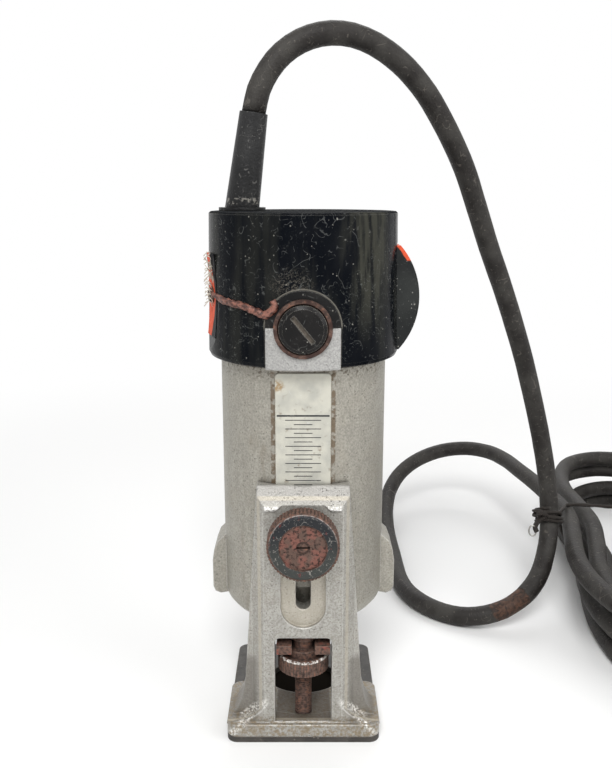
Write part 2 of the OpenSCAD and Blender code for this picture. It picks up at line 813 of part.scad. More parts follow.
module cap_screw_places() {
    for (q = [48, 132, 228, 312]) rotate([0, 0, q]) translate([housing_r - 1.7, 0, 0]) {
        children();
    }
}

module scoop_cut(extra) {
    rotate([0, 0, scoop_turn]) translate([-scoop_axis, 25, scoop_z]) rotate([90, 0, 0]) {
        cylinder(h = 50, r = scoop_r + extra, $fn = 180);
    }
}

module arch_cut(r) {
    for (m = [0, 1]) mirror([0, m, 0]) {
        translate([0, 0, brush_z]) along_y(-60, -22, r);
        slab(r, -60, -22, housing_top - bite, brush_z);
    }
}

module end_cap() {
    rim = 2;
    color([0.06, 0.06, 0.07]) difference() {
        union() {
            difference() {
                rotate_extrude() polygon([
                    [0, housing_top + 0.1], [cap_r_low - rim, housing_top + 0.1],
                    [cap_r_low - 0.6, housing_top + 0.7], [cap_r_low, housing_top + rim],
                    [cap_r_top, cap_top - 0.6], [cap_r_top - 0.6, cap_top], [0, cap_top]
                ]);
                translate([0, 0, housing_top - bite]) {
                    cylinder(h = cap_top - top_plate - housing_top + bite, r = cap_inner_r);
                }
            }
            translate([0, 0, boss_low]) {
                cylinder(h = cap_top - top_plate - boss_low + 0.01, r = bearing_r + 3);
            }
            // screw pillars inside the wall
            intersection() {
                cap_screw_places() translate([0, 0, housing_top + spigot_h + 0.5]) {
                    cylinder(h = cap_top - 2 - housing_top - spigot_h, r = 3.6);
                }
                cylinder(h = cap_top - 1, r = cap_inner_r + 1);
            }
        }
        arch_cut(arch_r);
        translate([0, 0, boss_low - bite]) {
            cylinder(h = upper_bearing_z + bearing_t - boss_low + bite, r = bearing_r + seat);
        }
        translate([0, 0, upper_bearing_z]) cylinder(h = bearing_t + 2, r = bearing_r - 2);
        scoop_cut(0);
        // switch opening and pivot holes
        translate([paddle_inner_x - 1.4, -paddle_w / 2 - gap, paddle_z - paddle_half - 0.8]) {
            cube([20, paddle_w + 2 * gap, paddle_len + 1.6]);
        }
        translate([pivot_x, 0, paddle_z]) along_y(-paddle_w / 2 - 2.2, paddle_w / 2 + 2.2,
            pivot_r + seat);
        // cord hole
        translate([relief_x, relief_y, cap_top - 8]) cylinder(h = 12, r = 6.3);
        // end cap screws
        cap_screw_places() translate([0, 0, housing_top - bite]) {
            cylinder(h = 80, r = 1.2 + seat);
        }
        cap_screw_places() translate([0, 0, cap_top - 3.5]) cylinder(h = 8, r = 2.5);
        // small hole for the side screw
        side_screw_place() translate([0, 0, -6]) cylinder(h = 10, r = 1.2);
    }
}

module end_cap_screws() {
    head_t = 2;
    color([0.5, 0.48, 0.45]) cap_screw_places() difference() {
        union() {
            translate([0, 0, cap_top - 3.5]) cylinder(h = head_t, r = 2.3);
            translate([0, 0, housing_top - 9]) {
                cylinder(h = cap_top - 3 - housing_top + 9, r = 1.2);
            }
        }
        translate([-3, -0.4, cap_top - 3.5 + head_t - 0.9]) cube([6, 0.8, 2]);
    }
}

// Black arch above the brush ring; m = 0 at the front, 1 at the back
module brush_insert(m) {
    color([0.09, 0.09, 0.09]) mirror([0, m, 0]) difference() {
        intersection() {
            difference() {
                translate([0, 0, brush_z + 0.05]) cylinder(h = 30, r = tab_r - 0.5);
                translate([0, 0, brush_z - bite]) cylinder(h = 60, r = inner_r + 0.8);
            }
            translate([0, 0, brush_z]) along_y(-40, -20, arch_r - 0.1);
        }
        translate([0, 0, brush_z]) along_y(-tab_r - 5, -20, tube_r + seat);
        translate([0, 0, brush_z]) along_y(-tab_r - 5, -ring_back, brush_ring_r + seat);
    }
}

module brush_insert_front() { brush_insert(0); }
module brush_insert_rear() { brush_insert(1); }

module brush_tube(m) {
    color([0.4, 0.29, 0.22]) mirror([0, m, 0]) translate([0, 0, brush_z]) difference() {
        union() {
            along_y(-ring_back - ring_t, -ring_back, brush_ring_r);
            along_y(-ring_back, -commutator_r - 2.5, tube_r);
        }
        along_y(-50, -commutator_r, tube_bore_r);
        along_y(-50, -ring_back - ring_t + 1.2, brush_cap_r + 0.5);
    }
}

module brush_tube_front() { brush_tube(0); }
module brush_tube_rear() { brush_tube(1); }

cap_plug_back = ring_back - 4;
cap_front = ring_back + ring_t + 1.3;

module brush_cap(m) {
    seat_y = ring_back + ring_t - 1.2;
    color([0.07, 0.07, 0.07]) mirror([0, m, 0]) translate([0, 0, brush_z]) difference() {
        union() {
            along_y(-seat_y - 0.01, -cap_plug_back, tube_bore_r - seat);
            along_y(-cap_front + 0.8, -seat_y, brush_cap_r);
            translate([0, -cap_front + 0.81, 0]) rotate([90, 0, 0]) {
                cylinder(h = 0.81, r1 = brush_cap_r, r2 = brush_cap_r - 1.2);
            }
        }
        rotate([0, -39, 0]) translate([-0.75, -cap_front - bite, -5.6]) {
            cube([1.5, bite + 1.1, 11.2]);
        }
    }
}

module brush_cap_front() { brush_cap(0); }
module brush_cap_rear() { brush_cap(1); }

module carbon_brushes() {
    color([0.2, 0.2, 0.21]) for (m = [0, 1]) mirror([0, m, 0]) {
        translate([-brush_w / 2, -brush_start - brush_len, brush_z - brush_h / 2]) {
            cube([brush_w, brush_len, brush_h]);
        }
    }
}

module brush_springs() {
    from = brush_start + brush_len;
    color([0.6, 0.58, 0.5]) for (m = [0, 1]) mirror([0, m, 0]) {
        translate([0, 0, brush_z]) difference() {
            along_y(-cap_plug_back, -from, spring_r);
            along_y(-cap_plug_back - bite, -from + bite, spring_r - spring_wire);
        }
    }
}

module stator_core() {
    color([0.35, 0.35, 0.37]) translate([0, 0, stator_low]) difference() {
        cylinder(h = stator_len, r = inner_r - 0.05);
        translate([0, 0, -bite]) cylinder(h = stator_len + 2 * bite, r = armature_r + 0.45);
        for (m = [0, 1]) rotate([0, 0, 180 * m]) translate([0, 0, -bite]) {
            rotate([0, 0, -38]) rotate_extrude(angle = 76) {
                translate([armature_r + 0.4, 0]) square([coil_r[1] + 0.1 - armature_r - 0.4,
                    stator_len + 2 * bite]);
            }
        }
        slab(6.4, -30, -inner_r + 5.8, knob_z - stator_low - 8.4, knob_z - stator_low + 8.4);
    }
}

module field_coils() {
    color([0.55, 0.3, 0.15]) for (m = [0, 1]) rotate([0, 0, 180 * m - 37]) {
        translate([0, 0, stator_low - coil_over]) rotate_extrude(angle = 74) {
            translate([coil_r[0], 0]) square([coil_r[1] - coil_r[0], stator_len + 2 * coil_over]);
        }
    }
}

module race(z, r0, r1) {
    mid = (shaft_r + bearing_r) / 2;
    translate([0, 0, z]) difference() {
        cylinder(h = bearing_t, r = r1);
        translate([0, 0, -bite]) cylinder(h = bearing_t + 2 * bite, r = r0);
        translate([0, 0, bearing_t / 2]) rotate_extrude() translate([mid, 0]) circle(r = 2.1);
    }
}

module bearing_outer(z) {
    race(z, bearing_r - 2.2, bearing_r);
}

module lower_bearing() { color([0.62, 0.62, 0.64]) bearing_outer(lower_bearing_z); }
module upper_bearing() { color([0.62, 0.62, 0.64]) bearing_outer(upper_bearing_z); }

module bearing_inner_races() {
    color([0.66, 0.66, 0.68]) for (z = [lower_bearing_z, upper_bearing_z]) {
        race(z, shaft_r + seat, shaft_r + 2);
    }
}

module bearing_retainer() {
    z = lower_bearing_z + bearing_t;
    color([0.5, 0.5, 0.5]) translate([0, 0, z]) difference() {
        cylinder(h = retainer_t, r = bearing_r - seat);
        translate([0, 0, -bite]) cylinder(h = 5, r = bearing_r - 2.4);
    }
}

module spindle() {
    color([0.6, 0.6, 0.62]) difference() {
        union() {
            translate([0, 0, nose_top - 0.01]) cylinder(h = shaft_top - nose_top, r = shaft_r);
            translate([0, 0, nose_low]) cylinder(h = nose_top - nose_low, r = nose_r);
        }
        translate([0, 0, nose_low - bite]) cylinder(h = 12.2, r = collet_r + seat);
    }
}

module armature_core() {
    slots = 12;
    color([0.38, 0.38, 0.4]) translate([0, 0, stator_low]) difference() {
        cylinder(h = stator_len, r = armature_r);
        translate([0, 0, -bite]) cylinder(h = 99, r = shaft_r + seat);
        for (k = [0 : slots - 1]) rotate([0, 0, 360 * k / slots]) {
            translate([armature_r - 5.5, -1.1, -bite]) cube([8, 2.2, stator_len + 2 * bite]);
        }
    }
}

module armature_windings() {
    end_h = 8;
    color([0.62, 0.33, 0.16]) for (z = [stator_low - end_h, stator_low + stator_len]) {
        translate([0, 0, z]) difference() {
            cylinder(h = end_h, r = armature_r - 1.5);
            translate([0, 0, -bite]) cylinder(h = 20, r = shaft_r + seat);
        }
    }
}

module commutator() {
    bars = 24;
    color([0.7, 0.42, 0.25]) translate([0, 0, commutator_low]) difference() {
        cylinder(h = commutator_len, r = commutator_r);
        translate([0, 0, -bite]) cylinder(h = 99, r = shaft_r + seat);
        for (k = [0 : bars - 1]) rotate([0, 0, 360 * k / bars]) {
            translate([commutator_r - 0.5, -0.2, -bite]) cube([2, 0.4, 99]);
        }
    }
}

module cooling_fan() {
    blades = 9;
    color([0.5, 0.5, 0.52]) translate([0, 0, fan_z]) difference() {
        union() {
            cylinder(h = fan_disc_t, r = fan_r);
            cylinder(h = fan_disc_t + fan_blade_h, r = 7);
            for (k = [0 : blades - 1]) rotate([0, 0, 360 * k / blades]) {
                translate([6, -0.6, fan_disc_t - 0.2]) cube([fan_r - 6.4, 1.2, fan_blade_h]);
            }
        }
        translate([0, 0, -bite]) cylinder(h = 40, r = shaft_r + seat);
    }
}

collet_low = collet_nut_low + 1.2;

module collet() {
    slits = 4;
    color([0.55, 0.55, 0.56]) translate([0, 0, collet_low]) difference() {
        cylinder(h = nose_low + 10.8 - collet_low, r = collet_r);
        translate([0, 0, -bite]) cylinder(h = 99, r = collet_bore_r);
        for (k = [0 : slits - 1]) rotate([0, 0, 45 + 360 * k / slits]) {
            translate([1, -0.3, -bite]) cube([9, 0.6, 7]);
        }
    }
}

module collet_nut() {
    color([0.5, 0.47, 0.44]) translate([0, 0, collet_nut_low]) difference() {
        cylinder(h = nut_height, r = nut_flats / sqrt(3), $fn = 6);
        translate([0, 0, -bite]) cylinder(h = 99, r = collet_r + seat);
        translate([0, 0, nose_low - collet_nut_low - 0.3]) cylinder(h = 99, r = nose_r + seat);
    }
}

module switch_body() {
    color([0.25, 0.22, 0.2]) {
        translate([switch_x[0], -7.5, switch_low]) {
            cube([switch_x[1] - switch_x[0], 15, switch_high - switch_low]);
        }
    }
}

module switch_pin() {
    color([0.6, 0.6, 0.6]) translate([pivot_x, 0, paddle_z]) {
        along_y(-paddle_w / 2 - 2, paddle_w / 2 + 2, pivot_r);
    }
}

module switch_paddle() {
    color([0.08, 0.08, 0.08]) difference() {
        intersection() {
            translate([paddle_x - paddle_arc_r, 0, paddle_z]) {
                along_y(-paddle_w / 2, paddle_w / 2, paddle_arc_r);
            }
            translate([paddle_inner_x, -20, paddle_z - paddle_half]) {
                cube([20, 40, paddle_len]);
            }
        }
        translate([pivot_x, 0, paddle_z]) along_y(-20, 20, pivot_r + running);
    }
}

module side_label() {
    color([0.85, 0.25, 0.1]) difference() {
        intersection() {
            difference() {
                scoop_cut(0);
                scoop_cut(-label_t);
            }
            rotate([0, 0, scoop_turn]) translate([-cap_r_low, -6.5, scoop_z - 15]) {
                cube([cap_r_low, 13, 30]);
            }
        }
        side_screw_place() translate([0, 0, -6]) cylinder(h = 12, r = 1.2 + seat);
    }
}

module side_screw_place() {
    rotate([0, 0, scoop_turn]) translate([-cap_r_low + 0.4 + scoop_depth - label_t, 0, scoop_z]) {
        rotate([0, -90, 0]) children();
    }
}

module side_screw() {
    color([0.4, 0.22, 0.14]) side_screw_place() difference() {
        union() {
            translate([0, 0, 0.1]) cylinder(h = 1.3, r1 = 3, r2 = 2.2);
            translate([0, 0, -4.5]) cylinder(h = 4.6, r = 1.2 - seat);
        }
        translate([-4, -0.4, 0.7]) cube([8, 0.8, 2]);
    }
}

module cord_grommet() {
    color([0.05, 0.05, 0.05]) translate([relief_x, relief_y, cap_top]) {
        cylinder(h = 1.2, r = 8.8);
        translate([0, 0, -top_plate - 1]) cylinder(h = top_plate + 1.01, r = 6.2);
    }
}

module strain_relief() {
    color([0.06, 0.06, 0.06]) difference() {
        translate(relief_foot) rotate([0, relief_lean, 0]) translate([0, 0, -2]) {
            cylinder(h = 2 + relief_len - 0.05, r1 = relief_r_low, r2 = relief_r_top);
        }
        translate([relief_x, relief_y, cap_top - 10]) cylinder(h = 11.2, r = 20);
    }
}

// A short open tube through its own points
module lead_tube(route, r, sides) {
    n = len(route);
    points = [
        for (i = [0 : n - 1])
        let (
            t = unit(route[min(i + 1, n - 1)] - route[max(i - 1, 0)]),
            s = unit(cross(t, [0.3, 0.2, 1]))
        )
        each ring_points(route[i], t, s, r, sides)
    ];
    last = (n - 1) * sides;
    start_cap = [for (k = [1 : sides - 2]) [0, k, k + 1]];
    end_cap_faces = [for (k = [1 : sides - 2]) [last, last + k + 1, last + k]];
    polyhedron(points, concat(side_faces(n, sides, false), start_cap, end_cap_faces));
}

module switch_leads() {
    from_z = cap_top - top_plate - 1.1;
    lead_r = 1.5;
    color([0.15, 0.15, 0.15]) lead_tube([
        [relief_x, relief_y, from_z], [relief_x, relief_y, from_z - 2],
        [relief_x + 1, relief_y + 1.5, from_z - 5],
        [relief_x + 4, 14, from_z - 8], [-10, 20, from_z - 11], [0, 22.5, from_z - 12],
        [10, 21.5, from_z - 12.5], [17, 17, from_z - 13.5], [20.5, 12.5, from_z - 15.5],
        [22, 10.7, switch_high - 1], [22, 10.4, switch_high - 4], [22, 9.2, switch_high - 5.8],
        [22, 7.46, switch_high - 6]
    ], lead_r, 8);
}

module cord_lead() { color([0.1, 0.09, 0.09]) cord_piece(0, tie_ring, cord_sides); }
module cord_loop() { color([0.1, 0.09, 0.09]) cord_piece(tie_ring, hank_ring, cord_sides); }
module cord_hank() {
    color([0.1, 0.09, 0.09]) cord_piece(hank_ring, len(cord_points) - 1, hank_sides);
}

tie_r = 0.9;
tie_points = [
    [134, 96, 40.6], [128.5, 86.5, 42], [121.7, 80.4, 42], [116.8, 79.1, 42.4],
    [114.7, 74.6, 43.8], [116.7, 70.3, 45.1], [121.6, 68.9, 44.9], [125.7, 71.4, 43.2],
    [126.2, 74.9, 41.3], [129.1, 86.5, 37.7], [131.4, 95, 35], [133.6, 103.6, 32.4],
    [139.3, 102.8, 18.5], [144.8, 102, 4.6], [146.2, 101.8, 2.3], [149.9, 101.3, 1.1],
    [176, 97.6, 1.1], [203.4, 93.8, 1.1], [207.8, 93.2, 3], [208.8, 93.1, 8.2],
    [202.8, 94, 22.6], [196.9, 94.8, 36.5], [195.2, 95, 38.9], [191.6, 95.5, 39.9],
    [165, 99.2, 39.9], [138.6, 102.9, 39.9]
];

module cord_tie() {
    n = len(tie_points);
    sides = 6;
    points = [
        for (i = [0 : n - 1])
        let (
            t = unit(tie_points[(i + 1) % n] - tie_points[(i + n - 1) % n]),
            s = unit(cross(t, [0.4, -0.5, 0.77]))
        )
        each ring_points(tie_points[i], t, s, tie_r, sides)
    ];
    color([0.12, 0.1, 0.09]) polyhedron(points, side_faces(n, sides, true));
}

plug_start = cord_points[len(cord_points) - 1];
plug_len = 38;

module at_plug() {
    translate(plug_start) rotate([90, 0, 0]) children();
}

module plug_body() {
    face_r = plug_start[2] - 0.2;
    color([0.09, 0.09, 0.09]) at_plug() {
        cylinder(h = 14.01, r1 = cord_r + 1, r2 = cord_r + 2.4);
        translate([0, 0, 14]) cylinder(h = 8.01, r1 = cord_r + 2.4, r2 = face_r);
        translate([0, 0, 22]) cylinder(h = plug_len - 22, r = face_r);
    }
}

module plug_blades() {
    color([0.72, 0.62, 0.35]) at_plug() translate([0, 0, plug_len]) {
        for (x = [-6.35, 6.35]) translate([x - 0.75, -0.2, 0]) cube([1.5, 6.4, 16]);
        translate([0, -7, 0]) cylinder(h = 19, r = 2.4);
    }
}

sub_base();
base_bracket();
sub_base_screws();
depth_stud();
adjusting_nut();
adjuster_fork();
fork_screws();
lock_knob();
lock_stud();
lock_washer();
motor_housing();
scale_plate();
end_cap();
end_cap_screws();
brush_insert_front();
brush_insert_rear();
brush_tube_front();
brush_tube_rear();
brush_cap_front();
brush_cap_rear();
carbon_brushes();
brush_springs();
stator_core();
field_coils();
lower_bearing();
upper_bearing();
bearing_retainer();
spindle();
armature_core();
armature_windings();
commutator();
cooling_fan();
bearing_inner_races();
collet();
collet_nut();
switch_body();
switch_pin();
switch_paddle();
side_label();
side_screw();
cord_grommet();
strain_relief();
switch_leads();
cord_lead();
cord_loop();
cord_hank();
cord_tie();
plug_body();
plug_blades();
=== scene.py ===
import math

import bmesh
import bpy
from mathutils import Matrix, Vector, noise


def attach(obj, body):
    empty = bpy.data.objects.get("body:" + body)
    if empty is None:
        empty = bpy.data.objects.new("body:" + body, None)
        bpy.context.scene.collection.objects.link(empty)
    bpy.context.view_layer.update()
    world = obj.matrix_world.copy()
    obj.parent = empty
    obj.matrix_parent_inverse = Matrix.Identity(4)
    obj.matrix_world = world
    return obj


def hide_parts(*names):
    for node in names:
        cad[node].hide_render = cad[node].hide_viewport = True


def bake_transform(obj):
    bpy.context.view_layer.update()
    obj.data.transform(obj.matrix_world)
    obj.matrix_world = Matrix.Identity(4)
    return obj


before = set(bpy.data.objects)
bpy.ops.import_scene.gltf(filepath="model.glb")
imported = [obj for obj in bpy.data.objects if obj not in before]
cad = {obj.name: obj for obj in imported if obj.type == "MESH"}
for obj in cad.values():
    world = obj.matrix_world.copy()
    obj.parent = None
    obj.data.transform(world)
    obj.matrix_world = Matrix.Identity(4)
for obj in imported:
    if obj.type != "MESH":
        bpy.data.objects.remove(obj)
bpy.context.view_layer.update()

# Studio: a pale floor that runs out to white, under a soft lamp high in front and fainter ones
# at the right and behind, with a dark painted shadow on it under the base's opening. The white
# around is seen by the eye and by glossy surfaces.
floor_reach = 6.0
floor_colour = (0.93, 0.93, 0.925)
floor_fades = (0.24, 0.62)
floor_middle = (0.06, 0.06, 0.0)
sky_strength = 0.4
floor_shadow_radii = (0.0165, 0.0145)
lamp_aim = Vector((0, 0, 0.12))


def new_material(name):
    mat = bpy.data.materials.new(name)
    mat.use_nodes = True
    mat.node_tree.nodes.clear()
    return mat, mat.node_tree


def put(tree, kind, **values):
    """A new shader node, with its settings and its plain input values."""
    made = tree.nodes.new("ShaderNode" + kind)
    for key, value in values.items():
        if hasattr(made, key):
            setattr(made, key, value)
        else:
            made.inputs[key.replace("_", " ")].default_value = value
    return made


def wire(start, end):
    end.id_data.links.new(start, end)


def maths(kind, *terms):
    """A sum on numbers and sockets, in the sockets' own tree."""
    tree = next(term.id_data for term in terms if hasattr(term, "id_data"))
    made = put(tree, "Math", operation=kind)
    for slot, term in zip(made.inputs, terms):
        if hasattr(term, "id_data"):
            wire(term, slot)
        else:
            slot.default_value = term
    return made.outputs[0]


def times(first, *others):
    """The product of all its terms."""
    for other in others:
        first = maths("MULTIPLY", first, other)
    return first


def plus(first, other):
    return maths("ADD", first, other)


def minus(first, other):
    return maths("SUBTRACT", first, other)


def between(value, low, high):
    """0 up to low and 1 from high, by a soft step; turned round where low is higher."""
    made = put(value.id_data, "MapRange", From_Min=low, From_Max=high)
    made.interpolation_type = "SMOOTHSTEP"
    wire(value, made.inputs[0])
    return made.outputs[0]


def shade(r, g, b):
    """A colour as it shows, 0 to 255, turned into the light values of a shader."""
    def light(c):
        return c / 3294.6 if c < 10.3 else ((c / 255 + 0.055) / 1.055) ** 2.4
    return light(r), light(g), light(b), 1.0


def blended(mask, first, second):
    """The first colour where the mask is 0 and the second where it is 1. Each is a socket, three
    numbers as the colour shows, or four as a shader's light values."""
    made = put(mask.id_data, "Mix", data_type="RGBA")
    wire(mask, made.inputs[0])
    for slot, colour in ((made.inputs[6], first), (made.inputs[7], second)):
        if isinstance(colour, tuple):
            slot.default_value = shade(*colour) if len(colour) == 3 else colour
        else:
            wire(colour, slot)
    return made.outputs[2]


def spot(tree, stretch=None):
    """Where a point lies, in metres of the frame, stretched where asked."""
    where = put(tree, "TexCoord").outputs["Object"]
    if stretch is None:
        return where
    made = put(tree, "VectorMath", operation="MULTIPLY")
    wire(where, made.inputs[0])
    made.inputs[1].default_value = stretch
    return made.outputs[0]


def away_from(tree, place, stretch=(1, 1, 1)):
    """The distance from a place, measured along stretched axes."""
    made = put(tree, "VectorMath", operation="DISTANCE")
    wire(spot(tree, stretch), made.inputs[0])
    made.inputs[1].default_value = tuple(a * b for a, b in zip(place, stretch))
    return made.outputs["Value"]


def seen_rays(tree):
    """1 where the eye, a gloss or a glass looks at it, and 0 where it only lights."""
    path = put(tree, "LightPath")
    shine = maths("MAXIMUM", path.outputs["Is Glossy Ray"], path.outputs["Is Transmission Ray"])
    return maths("MAXIMUM", path.outputs["Is Camera Ray"], shine)


def join_shaders(mask, first, second, output):
    """Sends out the first shader where the mask is 0 and the second where it is 1."""
    mix = put(mask.id_data, "MixShader")
    for slot, start in zip(mix.inputs, (mask, first.outputs[0], second.outputs[0])):
        wire(start, slot)
    wire(mix.outputs[0], put(mask.id_data, output).inputs[0])


def stand(name, data):
    """A new object in the scene."""
    made = bpy.data.objects.new(name, data)
    bpy.context.collection.objects.link(made)
    return made


def studio():
    world = bpy.data.worlds.new("pale_room")
    bpy.context.scene.world = world
    world.use_nodes = True
    tree = world.node_tree
    tree.nodes.clear()
    lit = put(tree, "Background", Color=(1, 1, 1, 1), Strength=sky_strength)
    shown = put(tree, "Background", Color=(1, 1, 1, 1), Strength=1.0)
    join_shaders(seen_rays(tree), lit, shown, "OutputWorld")

    mesh = bpy.data.meshes.new("floor")
    r = floor_reach
    mesh.from_pydata([(-r, -r, 0), (r, -r, 0), (r, r, 0), (-r, r, 0)], [], [(0, 1, 2, 3)])
    floor = stand("floor", mesh)
    mat, tree = new_material("pale_floor")
    paint = put(tree, "BsdfDiffuse")
    white = put(tree, "Emission", Color=(1, 1, 1, 1), Strength=1.0)
    # painted shadow: the floor is painted dark within about 15 mm of the middle, under the base's
    # opening
    painted_floor_shadow = between(away_from(tree, (0, 0, 0)), *floor_shadow_radii)
    wire(blended(painted_floor_shadow, (*floor_colour, 1), (30, 27, 24)), paint.inputs[0])
    far = between(away_from(tree, floor_middle), *floor_fades)
    far = times(far, seen_rays(tree))
    join_shaders(far, paint, white, "OutputMaterial")
    mesh.materials.append(mat)

    for name, place, size, power in (
        ("key", (-0.08, -0.8, 0.95), 0.5, 10.5),
        ("fill", (0.85, -0.45, 0.6), 0.8, 3.5),
        ("back", (0.1, 0.9, 0.9), 0.9, 5.0),
    ):
        light = bpy.data.lights.new(name, "AREA")
        light.size = size
        light.energy = power
        lamp = stand(name, light)
        lamp.location = place
        lamp.rotation_euler = (lamp_aim - Vector(place)).to_track_quat("-Z", "Y").to_euler()


studio()

# Camera: stands a little over 30 cm in front of the tool and looks slightly down on it.
view_point = (0.001, -0.3158, 0.2006)
view_tilt = math.radians(12.86)
lens_px = 845
picture_px = 768
sensor_mm = 36
eye = bpy.data.cameras.new("eye")
eye.lens = lens_px / picture_px * sensor_mm
eye.clip_start = 0.01
camera = stand("eye", eye)
camera.location = view_point
camera.rotation_euler = (math.pi / 2 - view_tilt, 0, 0)
bpy.context.scene.camera = camera
bpy.context.scene.view_settings.view_transform = "Standard"

# Power cord: one length of round rubber-jacketed mains lead, black gone brown with age. It
# leaves the sleeve on the cap, arches over, drops to the tie, lies in one loose loop on the
# floor and ends in a hank of four loops and a tail with the plug.
cord_d = 0.0088
cord_r = cord_d / 2
relief_foot = Vector((-0.023, 0.009, 0.1945))
relief_lean = math.radians(8)
relief_len = 0.0345
relief_way = Vector((math.sin(relief_lean), 0, math.cos(relief_lean)))
cord_exit = relief_foot + relief_len * relief_way

# the same route as the frame's, point by point, in millimetres
lead_route = [
    (-16.3, 9.4, 236.6), (-12.7, 10.2, 243.6), (-7.5, 11.3, 249.6), (-1, 12.7, 254),
    (6.3, 14.4, 256.6), (14.2, 16.4, 257.3), (22.5, 19, 255.8), (31, 22, 252), (39.5, 25.5, 246),
    (48, 30, 237.5), (57, 36, 225), (66, 43, 210), (73.3, 50, 194), (80.5, 56, 177),
    (88.3, 62, 160), (96, 68, 142), (103.5, 74, 123), (110.2, 79, 103), (115.8, 81, 83),
    (119.7, 79.5, 62), (120.5, 74, 42),
]
loop_route = [
    (117.5, 66, 30), (110.8, 55.7, 20.3), (100.9, 48.8, 13), (89.3, 46, 8.2), (77.4, 47.6, 5.4),
    (66.4, 53.4, 4.4), (57.7, 62.8, 4.4), (52, 75, 4.4), (49.6, 88, 4.4), (49, 104, 4.4),
    (49, 120, 4.5), (48.7, 137, 5.2), (48.7, 154, 7.8), (50, 171, 12.5), (54, 186.5, 18.5),
    (62, 199.5, 25), (74.5, 208.5, 31), (90, 212.3, 35.5), (104.9, 209, 38), (117, 199.3, 38.7),
    (124, 184, 38.5), (128, 166, 38), (131.5, 149, 37.5), (134.8, 131, 36.5),
]
tail_route = [
    (144.5, 81, 5.4), (139.7, 61, 4.6), (136.8, 41, 4.4), (136.8, 20, 4.4), (139.8, 0, 4.4),
    (144.2, -20, 5.5), (147.3, -38, 9), (148.9, -52, 12.5), (149.3, -60, 13),
]
hank_loops = 4
hank_run = 0.15
hank_fold_r = 0.0305
hank_step = 0.011
layer_step = 0.0093
waist_draw = 0.012
hank_centre = (0.1735, 0.098)
hank_turn = math.radians(-8)
hank_bow_r = 0.25
hank_lean = 0.41
waist_lift = 0.0022
waist_reach = 0.066
rings_per_loop = 24


def ease(u):
    u = max(0.0, min(1.0, u))
    return u * u * (3 - 2 * u)


def swell(y, reach):
    return (1 + math.cos(math.pi * y / reach)) / 2 if abs(y) < reach else 0.0


def oval(p, r):
    """One loop of the hank, entered at the middle of its left run."""
    a = hank_run / 2
    whole = 2 * hank_run + 2 * math.pi * (hank_fold_r + hank_step / 2)
    run = a / whole
    arc = 0.5 - 2 * run
    if p < run:
        return -r, -a * p / run
    if p < run + arc:
        q = math.pi * (1 + (p - run) / arc)
        return r * math.cos(q), -a + r * math.sin(q)
    if p < 1 - run - arc:
        return r, a * (p - 0.5) / run
    if p < 1 - run:
        q = math.pi * (p - 1 + run + arc) / arc
        return r * math.cos(q), a + r * math.sin(q)
    return -r, a * (1 - p) / run


def layers_down(t):
    k = math.floor(t + 0.5)
    if k < 1:
        return 0.0
    return hank_loops - 1.0 if k > hank_loops - 1 else k - 1 + ease((t - k) * 2 + 0.5)


def hank_point(t):
    lap = min(math.floor(t), hank_loops - 1)
    part = t - lap
    inward = 1 - part if lap % 2 == 0 else part
    fx, fy = oval(part if part < 1 else 0, hank_fold_r + hank_step * inward)
    pinch = waist_draw * swell(fy, waist_reach)
    z = cord_r + layer_step * (hank_loops - 1 - layers_down(t))
    middle = cord_r + layer_step * (hank_loops - 1) / 2
    across = hank_bow_r - fx + math.copysign(pinch, fx) + hank_lean * (z - middle)
    x = hank_bow_r - across * math.cos(fy / hank_bow_r)
    y = across * math.sin(fy / hank_bow_r)
    c, s = math.cos(hank_turn), math.sin(hank_turn)
    return Vector((
        hank_centre[0] + x * c - y * s,
        hank_centre[1] + x * s + y * c,
        z + waist_lift * swell(fy, waist_reach),
    ))


def along(p, q, start, end, t):
    """The place between two points that t has between start and end."""
    return p * ((end - t) / (end - start)) + q * ((t - start) / (end - start))


def smooth_line(points, step):
    """Points a step apart on a smooth curve through the given ones."""
    ends = [2 * points[0] - points[1]] + points + [2 * points[-1] - points[-2]]
    line = [points[0].copy()]
    for i in range(1, len(ends) - 2):
        p0, p1, p2, p3 = ends[i - 1:i + 3]
        t1 = math.sqrt((p1 - p0).length)
        t2 = t1 + math.sqrt((p2 - p1).length)
        t3 = t2 + math.sqrt((p3 - p2).length)
        count = max(1, round((p2 - p1).length / step))
        for k in range(1, count + 1):
            t = t1 + (t2 - t1) * k / count
            a1 = along(p0, p1, 0, t1, t)
            a2 = along(p1, p2, t1, t2, t)
            a3 = along(p2, p3, t2, t3, t)
            b1 = along(a1, a2, 0, t2, t)
            b2 = along(a2, a3, t1, t3, t)
            line.append(along(b1, b2, t1, t2, t))
    return line


def tube(name, line, radius, sides, closed=False, side_way=Vector((0, 1, 0))):
    """A round tube; its radius is a number or a function of ring, angle and point."""
    made = bmesh.new()
    count = len(line)
    rings = []
    side = side_way
    for i, centre in enumerate(line):
        before = line[i - 1] if i or closed else line[0]
        after = line[(i + 1) % count] if i < count - 1 or closed else line[-1]
        way = (after - before).normalized()
        side = (side - side.dot(way) * way).normalized()
        up = way.cross(side)
        ring = []
        for k in range(sides):
            q = 2 * math.pi * k / sides
            out = math.cos(q) * side + math.sin(q) * up
            r = radius(i, q, centre + out * cord_r) if callable(radius) else radius
            ring.append(made.verts.new(centre + r * out))
        rings.append(ring)
    return ringed(name, made, rings, closed)


def ringed(name, made, rings, closed=False):
    """Joins rings of vertices into a piece, closed round or with flat ends."""
    sides = len(rings[0])
    for a, b in zip(rings, rings[1:] + rings[:closed]):
        shift = 0
        if b is rings[0]:
            shift = min(range(sides), key=lambda m: (a[0].co - b[m].co).length)
        for k in range(sides):
            m = (k + 1) % sides
            made.faces.new((a[k], a[m], b[(m + shift) % sides], b[(k + shift) % sides]))
    if not closed:
        made.faces.new(list(reversed(rings[0])))
        made.faces.new(rings[-1])
    return piece_of(name, made)


